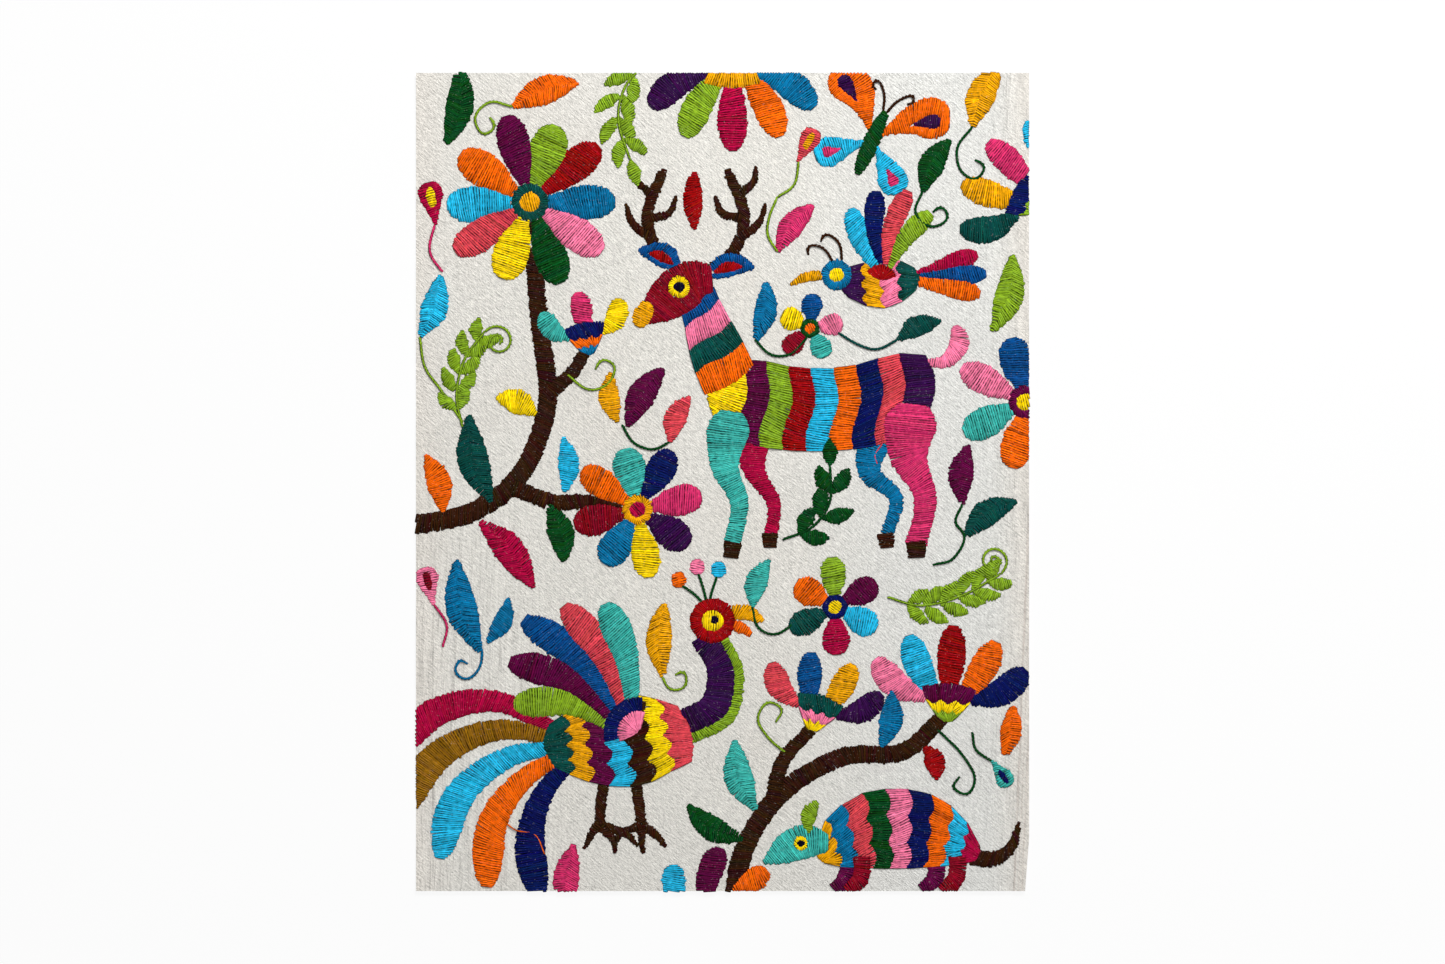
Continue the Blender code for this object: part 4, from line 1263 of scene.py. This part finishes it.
@dataclass(frozen=True)
class FlossTree:
    """Geometry Nodes that turn runs of edges into threads that rise out of the cloth and dive back."""

    sides: int = 7
    flatness: float = .45
    rise_over: float = .0004
    sink: float = .0002
    waver: float = .00016
    seed: float = 3.0
    waver_scale: float = 260.0

    def group(self) -> Any:
        """Builds the node group."""
        group = bpy.data.node_groups.new("laid_floss", "GeometryNodeTree")
        face = group.interface
        face.new_socket("Geometry", in_out="INPUT", socket_type="NodeSocketGeometry")
        for name, kind in (("Material", "Material"), ("Sides", "Int"), ("Flatness", "Float"),
                           ("Rise over", "Float"), ("Sink", "Float"), ("Waver", "Float"), ("Seed", "Float")):
            face.new_socket(name, in_out="INPUT", socket_type=f"NodeSocket{kind}")
        face.new_socket("Geometry", in_out="OUTPUT", socket_type="NodeSocketGeometry")
        t = Tree(group.nodes, group.links)
        given = t.put("NodeGroupInput")
        lift, dome, girth = (
            t.out(t.put("GeometryNodeInputNamedAttribute", {"data_type": "FLOAT"}, {"Name": name}))
            for name in ("lift", "dome", "girth"))
        curve = t.out(t.put("GeometryNodeMeshToCurve", {}, {"Mesh": t.out(given, "Geometry")}))
        whole = t.out(t.put("GeometryNodeSplineLength"))
        run = t.put("GeometryNodeSplineParameter")
        factor, reached = t.out(run, "Factor"), t.out(run, "Length")
        near_end = t.maths("MINIMUM", reached, whole - reached)
        rise = t.maths("MINIMUM", t.out(given, "Rise over"), whole * .45)
        up = t.out(t.put("ShaderNodeMapRange", {"interpolation_type": "SMOOTHSTEP"},
                         {0: near_end, 1: 0.0, 2: rise, 3: 0.0, 4: 1.0}))
        place = t.out(t.put("GeometryNodeInputPosition"))
        noise = t.put("ShaderNodeTexNoise", {"noise_dimensions": "4D"},
                      {"Vector": place, "W": t.out(given, "Seed"), "Scale": self.waver_scale, "Detail": 1.0})
        astray = t.vector("SUBTRACT", t.out(noise, "Color"), (.5, .5, .5))
        astray = t.scaled(t.vector("MULTIPLY", astray, (1, 1, .5)), t.out(given, "Waver") * 2.0 * up)
        height = ((lift + t.out(given, "Sink")) * up - t.out(given, "Sink")
                  + dome * factor * (1.0 - factor) * 4.0)
        offset = t.vector("ADD", astray, t.out(t.put("ShaderNodeCombineXYZ", {}, {2: height})))
        captured = t.put("GeometryNodeCaptureAttribute")
        for name in ("along", "up"):
            captured.capture_items.new("FLOAT", name)
        t.join(curve, captured.inputs[0])
        t.join(reached, captured.inputs[1])
        t.join(up, captured.inputs[2])
        curve = t.out(t.put("GeometryNodeSetPosition", {},
                            {"Geometry": t.out(captured, 0), "Offset": offset}))
        curve = t.out(t.put("GeometryNodeSetCurveNormal", {"mode": "Z_UP"}, {"Curve": curve}))
        circle = t.out(t.put("GeometryNodeCurvePrimitiveCircle", {"mode": "RADIUS"},
                             {"Resolution": t.out(given, "Sides"), "Radius": 1.0}))
        squash = t.out(t.put("ShaderNodeCombineXYZ", {}, {0: 1.0, 1: t.out(given, "Flatness"), 2: 1.0}))
        circle = t.out(t.put("GeometryNodeTransform", {}, {"Geometry": circle, "Scale": squash}))
        around = t.put("GeometryNodeCaptureAttribute")
        around.capture_items.new("FLOAT", "around")
        t.join(circle, around.inputs[0])
        t.join(t.out(t.put("GeometryNodeSplineParameter"), "Factor"), around.inputs[1])
        thick = girth * (t.out(captured, 2) * .06 + .94)
        mesh = t.out(t.put("GeometryNodeCurveToMesh", {}, {
            "Curve": curve, "Profile Curve": t.out(around, 0), "Scale": thick, "Fill Caps": True}))
        uv = t.out(t.put("ShaderNodeCombineXYZ", {}, {0: t.out(captured, 1) * 1000.0, 1: t.out(around, 1)}))
        mesh = t.out(t.put("GeometryNodeStoreNamedAttribute", {"data_type": "FLOAT2", "domain": "CORNER"},
                           {"Geometry": mesh, "Name": "run", "Value": uv}))
        mesh = t.out(t.put("GeometryNodeStoreNamedAttribute", {"data_type": "FLOAT", "domain": "POINT"},
                           {"Geometry": mesh, "Name": "rise", "Value": t.out(captured, 2)}))
        mesh = t.out(t.put("GeometryNodeRealizeInstances", {}, {"Geometry": mesh}))
        mesh = t.out(t.put("GeometryNodeSetMaterial", {},
                           {"Geometry": mesh, "Material": t.out(given, "Material")}))
        t.put("NodeGroupOutput", {}, {0: mesh})
        return group

    def behind(self) -> "FlossTree":
        """The same threads on the back: plainer, and coming out of the cloth downwards."""
        return replace(self, sides=3, sink=-self.sink)

    def settings(self, material: Any) -> dict[str, Any]:
        """The tree's inputs by name."""
        return {"Material": material, "Sides": self.sides, "Flatness": self.flatness,
                "Rise over": self.rise_over, "Sink": self.sink, "Waver": self.waver, "Seed": self.seed}


@dataclass
class Embroidery:
    """All the stitching: which shapes cover which, where each stitch goes, and the pieces they make."""

    lie: Lie
    tree: FlossTree = FlossTree()
    finish: FlossFinish = FlossFinish()
    pitch: float = .98
    girth: float = .61
    lift: float = .13
    tuck: float = .3
    dip: float = .3
    ring_spacing: float = 1.9
    back_girth: float = .3
    back_drop: float = .03
    loose_girth: float = .32
    loose_lift: float = .5
    jag: float = .19
    slant: float = 2.4
    overlap: tuple[float, float] = (.56, .68)
    arch: float = .026
    highest_arch: float = .3
    tone_spread: float = .13
    shortest_whole: float = 1.1
    shortest_cut: float = .5
    stem_stitch: float = 2.9
    stem_step: float = 1.45
    seed: int = 5

    def pieces(self, motifs: dict[str, list[Motif]]) -> list[Any]:
        """Works every motif.

        Args:
            motifs: The motifs of each piece, bottom layer first.

        Returns:
            One mesh object for each piece.
        """
        shapes = [(name, shape) for name, group in motifs.items()
                  for motif in group for shape in motif.shapes()]
        covers = [shape.outline() if isinstance(shape, Fill) else None for _, shape in shapes]
        group, material = self.tree.group(), self.finish.material()
        gathered = {name: Threads() for name in motifs}
        backs = Threads()
        rng = np.random.default_rng(self.seed)
        for k, (name, shape) in enumerate(shapes):
            above = [cover for cover in covers[k + 1:] if cover is not None]
            if isinstance(shape, Fill):
                self.fill(gathered[name], backs, shape, above, rng)
            elif shape.loose:
                gathered[name].add(shape.path, shape.dye.linear(), self.loose_girth, self.loose_lift, 0)
            else:
                self.stem(gathered[name], shape, above, rng)
        made = [self.piece(name, rows, group, material) for name, rows in gathered.items()]
        return [*made, self.piece("reverse_stitches", backs, group, material, under=True)]

    def fill(self, rows: Threads, backs: Threads, shape: Fill, above: list[Array], rng: Any) -> None:
        """Covers a shape with stitches.

        Args:
            rows: Where the stitches go.
            backs: Where the short runs behind the cloth go, from each stitch to the next.
            shape: The shape to cover.
            above: Outlines of the shapes that lie over it.
            rng: The source of unevenness.
        """
        pace = np.max([np.hypot(*np.diff(rail, axis=0).T) for rail in (shape.left, shape.right)], axis=0)
        reached = np.concatenate([[0], np.cumsum(pace)])
        n = max(3, round(reached[-1] / self.pitch))
        even = (np.arange(n) + .5 + rng.normal(0, .035, n)) / n
        s = np.interp(even, reached / reached[-1], np.linspace(0, 1, len(reached)))
        lean = (rng.choice((-1, 1)) * rng.uniform(.4, 1.8)
                + .7 * np.sin(np.arange(n) * .2 + rng.uniform(0, 6)))
        cross = .03 * np.where(np.arange(n) % 2, 1, -1) + rng.normal(0, .1, n)
        tips = np.clip(np.minimum(s, 1 - s) * n / 6, 0, 1)
        skew = (lean + cross) * tips / n
        a, b = self.at(shape.left, s + skew), self.at(shape.right, s - skew)
        reach = np.hypot(*(b - a).T)[:, None] + 1e-6
        out = (b - a) / reach
        jag = rng.normal(0, self.jag, (2, n, 1)) + .1 * np.sin(np.arange(n) * 1.3)[:, None]
        jag = jag.clip(-.3, .5) + .12
        a, b = a - out * jag[0], b + out * jag[1]
        for k in range(n - 1):
            run = (b if k % 2 else a)[k:k + 2]
            if self.lie.inside(run).all():
                backs.add(run[[0, 0, 1]] * .5 + run[[0, 1, 1]] * .5, shape.dye.linear(), self.back_girth,
                          -self.back_drop, 0)
        girth = self.girth * rng.uniform(.9, 1.08, n)
        lift = self.lift + rng.uniform(-.04, .06, n)
        if shape.work is Work.HERRINGBONE and reach.max() > 5:
            ahead = s + self.slant * tips / n
            left, right = self.at(shape.left, ahead), self.at(shape.right, ahead)
            share = rng.uniform(*self.overlap, (2, n, 1))
            first, second = left + (right - left) * share[0], right + (left - right) * share[1]
            a, b = np.concatenate([a, b]), np.concatenate([first, second])
            girth, lift = np.tile(girth, 2), np.concatenate([lift, lift + .1])
        length = np.hypot(*(b - a).T)
        dome = np.clip(length * self.arch, 0, self.highest_arch)
        tone = rng.normal(1, self.tone_spread, (len(a), 1))
        tone = tone * (1 + .04 * np.sin(np.arange(len(a)) * .13 + rng.uniform(0, 6)))[:, None]
        dye = np.clip(shape.dye.linear()[None] * tone + rng.normal(0, .003, (len(a), 3)), .002, 1)
        self.lay(rows, a, b, dye, girth, lift, dome, above)

    def at(self, rail: Array, share: Array) -> Array:
        """Points at shares of the way along a rail."""
        i = np.clip(share, 0, 1) * (len(rail) - 1)
        return np.stack([np.interp(i, np.arange(len(rail)), rail[:, k]) for k in (0, 1)], axis=1)

    def lay(self, rows: Threads, a: Array, b: Array, dye: Array, girth: Array, lift: Array, dome: Array,
            above: list[Array]) -> None:
        """Lays stitches down where nothing lies over them and there is cloth.

        Args:
            rows: Where the stitches go.
            a: Starts.
            b: Ends.
            dye: Colours.
            girth: Half widths.
            lift: Heights.
            dome: Extra heights halfway.
            above: Outlines of the shapes that lie over them.
        """
        steps = 33
        t = np.linspace(0, 1, steps)[None, :, None]
        points = a[:, None] * (1 - t) + b[:, None] * t
        shown = self.lie.inside(points)
        low, high = points.min(axis=(0, 1)), points.max(axis=(0, 1))
        for outline in above:
            if (outline.min(axis=0) < high).all() and (outline.max(axis=0) > low).all():
                shown &= ~self.within(points, outline)
        for k, row in enumerate(shown):
            edges = np.flatnonzero(np.diff(np.concatenate([[0], row.astype(int), [0]])))
            for first, last in zip(edges[::2], edges[1::2] - 1):
                start, end = points[k, first], points[k, last]
                length = np.hypot(*(end - start))
                if length > (self.shortest_cut if last - first < steps - 1 else self.shortest_whole):
                    under = (end - start) / length * self.tuck
                    start = start - under * (first > 0) * self.lie.inside(start - under)
                    end = end + under * (last < steps - 1) * self.lie.inside(end + under)
                    rows.add(self.run(start, end), dye[k], girth[k], lift[k],
                             dome[k] * (last - first) / (steps - 1))

    def run(self, start: Array, end: Array) -> Array:
        """Points along a straight thread, close together at its ends, where it goes into the cloth."""
        length = np.hypot(*(end - start))
        dip = min(self.dip / length, .2)
        spans = max(2, math.ceil(length * (1 - 2 * dip) / self.ring_spacing))
        t = np.concatenate([[0], np.linspace(dip, 1 - dip, spans + 1), [1]])[:, None]
        return start * (1 - t) + end * t

    def within(self, points: Array, outline: Array) -> Array:
        """Whether points lie inside an outline."""
        x, y = points[..., 0], points[..., 1]
        inside = np.zeros(x.shape, bool)
        for (ax, ay), (bx, by) in zip(outline, np.roll(outline, -1, axis=0)):
            crosses = (ay > y) != (by > y)
            inside ^= crosses & (x < ax + (bx - ax) * (y - ay) / ((by - ay) or 1))
        return inside

    def stem(self, rows: Threads, line: Thin, above: list[Array], rng: Any) -> None:
        """Works a thin line in overlapping slanted stitches.

        Args:
            rows: Where the stitches go.
            line: The line.
            above: Outlines of the shapes that lie over it.
            rng: The source of unevenness.
        """
        length = np.hypot(*np.diff(line.path, axis=0).T).sum()
        n = max(2, round(length / self.stem_step))
        s = np.arange(n) / n
        half = self.stem_stitch / length / 2
        a, b = self.at(line.path, s - half), self.at(line.path, s + half)
        way = (b - a) / (np.hypot(*(b - a).T)[:, None] + 1e-6)
        aside = np.stack([-way[:, 1], way[:, 0]], axis=1) * .24
        keep = np.hypot(*(b - a).T) > .6
        dye = np.clip(line.dye.linear()[None] * rng.normal(1, .05, (n, 1)), .002, 1)
        self.lay(rows, (a - aside)[keep], (b + aside)[keep], dye[keep], np.full(n, .46)[keep],
                 np.full(n, .34)[keep], np.full(n, .12)[keep], above)

    def piece(self, name: str, rows: Threads, group: Any, material: Any, under: bool = False) -> Any:
        """Makes one piece's threads.

        Args:
            name: The piece's name.
            rows: Its threads.
            group: The node group that makes them.
            material: The floss.
            under: Whether they lie on the back of the cloth.

        Returns:
            A plain mesh object.
        """
        flat = np.concatenate(rows.paths)
        height = self.lie.back(*flat.T) if under else self.lie.face(*flat.T)
        counts = np.array([len(path) for path in rows.paths])
        first = np.cumsum(counts) - counts
        edges = [(i + k, i + k + 1) for i, n in zip(first.tolist(), counts.tolist()) for k in range(n - 1)]
        made = mesh_object(name, np.column_stack([flat, height]), [], edges)
        for key, values in (("girth", rows.girths), ("lift", rows.lifts), ("dome", rows.domes)):
            layer = made.data.attributes.new(key, "FLOAT", "POINT")
            layer.data.foreach_set("value", (rows.spread(values) * MM).astype(np.float32))
        layer = made.data.attributes.new("dye", "FLOAT_COLOR", "POINT")
        colours = np.column_stack([rows.spread(rows.dyes), np.ones(len(flat))])
        layer.data.foreach_set("color", colours.astype(np.float32).ravel())
        modifier = made.modifiers.new("floss", "NODES")
        modifier.node_group = group
        values = (self.tree.behind() if under else self.tree).settings(material)
        for item in group.interface.items_tree:
            if item.in_out == "INPUT" and item.name in values:
                modifier[item.identifier] = values[item.name]
        graph = bpy.context.evaluated_depsgraph_get()
        mesh = bpy.data.meshes.new_from_object(made.evaluated_get(graph), depsgraph=graph)
        made.modifiers.clear()
        spent, made.data = made.data, mesh
        bpy.data.meshes.remove(spent)
        mesh.name = name
        mesh.polygons.foreach_set("use_smooth", np.ones(len(mesh.polygons), bool))
        return made


class Lamp(NamedTuple):
    """An area light that is aimed at the cloth's middle: metres and watts."""

    name: str
    place: tuple[float, float, float]
    size: float
    power: float


@dataclass(frozen=True)
class Studio:
    """Camera straight above the cloth, soft lights and a pale floor."""

    distance: float = 1.3647
    lens: float = 85.0
    lamps: tuple[Lamp, ...] = (
        Lamp("key", (.3, 1.05, .85), .35, 17.7),
        Lamp("fill", (.4, -.2, 1.6), 1.6, 5.4),
    )
    daylight: float = .36
    floor_side: float = 8.0
    floor_gap: float = .0001
    finish: FloorFinish = FloorFinish()

    def camera(self) -> None:
        """Looks straight down, the cloth in the middle of the picture."""
        data = bpy.data.cameras.new("camera")
        data.lens = self.lens
        data.sensor_width = 36.0
        made = bpy.data.objects.new("camera", data)
        made.location = (0, 0, self.distance + .001)
        bpy.context.scene.collection.objects.link(made)
        bpy.context.scene.camera = made

    def light(self, lamp: Lamp) -> None:
        """Hangs a lamp."""
        data = bpy.data.lights.new(lamp.name, "AREA")
        data.size = lamp.size
        data.energy = lamp.power
        made = bpy.data.objects.new(lamp.name, data)
        made.location = lamp.place
        x, y, z = lamp.place
        made.rotation_euler = (math.atan2(math.hypot(x, y), z), 0, math.atan2(y, x) + math.pi / 2)
        bpy.context.scene.collection.objects.link(made)

    def build(self) -> None:
        """Sets up the lights, the world and the floor."""
        for lamp in self.lamps:
            self.light(lamp)
        world = bpy.data.worlds.new("studio")
        world.use_nodes = True
        world.node_tree.nodes["Background"].inputs["Color"].default_value = (1, 1, 1, 1)
        world.node_tree.nodes["Background"].inputs["Strength"].default_value = self.daylight
        bpy.context.scene.world = world
        bpy.context.scene.view_settings.view_transform = "Standard"
        h, z = self.floor_side / 2, -self.floor_gap
        corners = np.array([(-h, -h, z), (h, -h, z), (h, h, z), (-h, h, z)]) / MM
        floor = mesh_object("studio_floor", corners, [(0, 1, 2, 3)])
        floor.data.materials.append(self.finish.material())


def main() -> None:
    """Builds the scene piece by piece."""
    logging.basicConfig(level=logging.INFO, format="%(message)s")
    studio = Studio()
    studio.camera()
    lie = Lie()
    sheet = Sheet(lie).build()
    log.info("%s: %d faces", sheet.name, len(sheet.data.polygons))
    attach(sheet, "root")
    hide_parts("cloth")
    threads = Embroidery(lie).pieces(design())
    for piece in threads:
        log.info("%s: %d faces", piece.name, len(piece.data.polygons))
        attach(piece, "root")
    lie.width * MM
    studio.build()


if __name__ == "__main__":
    main()
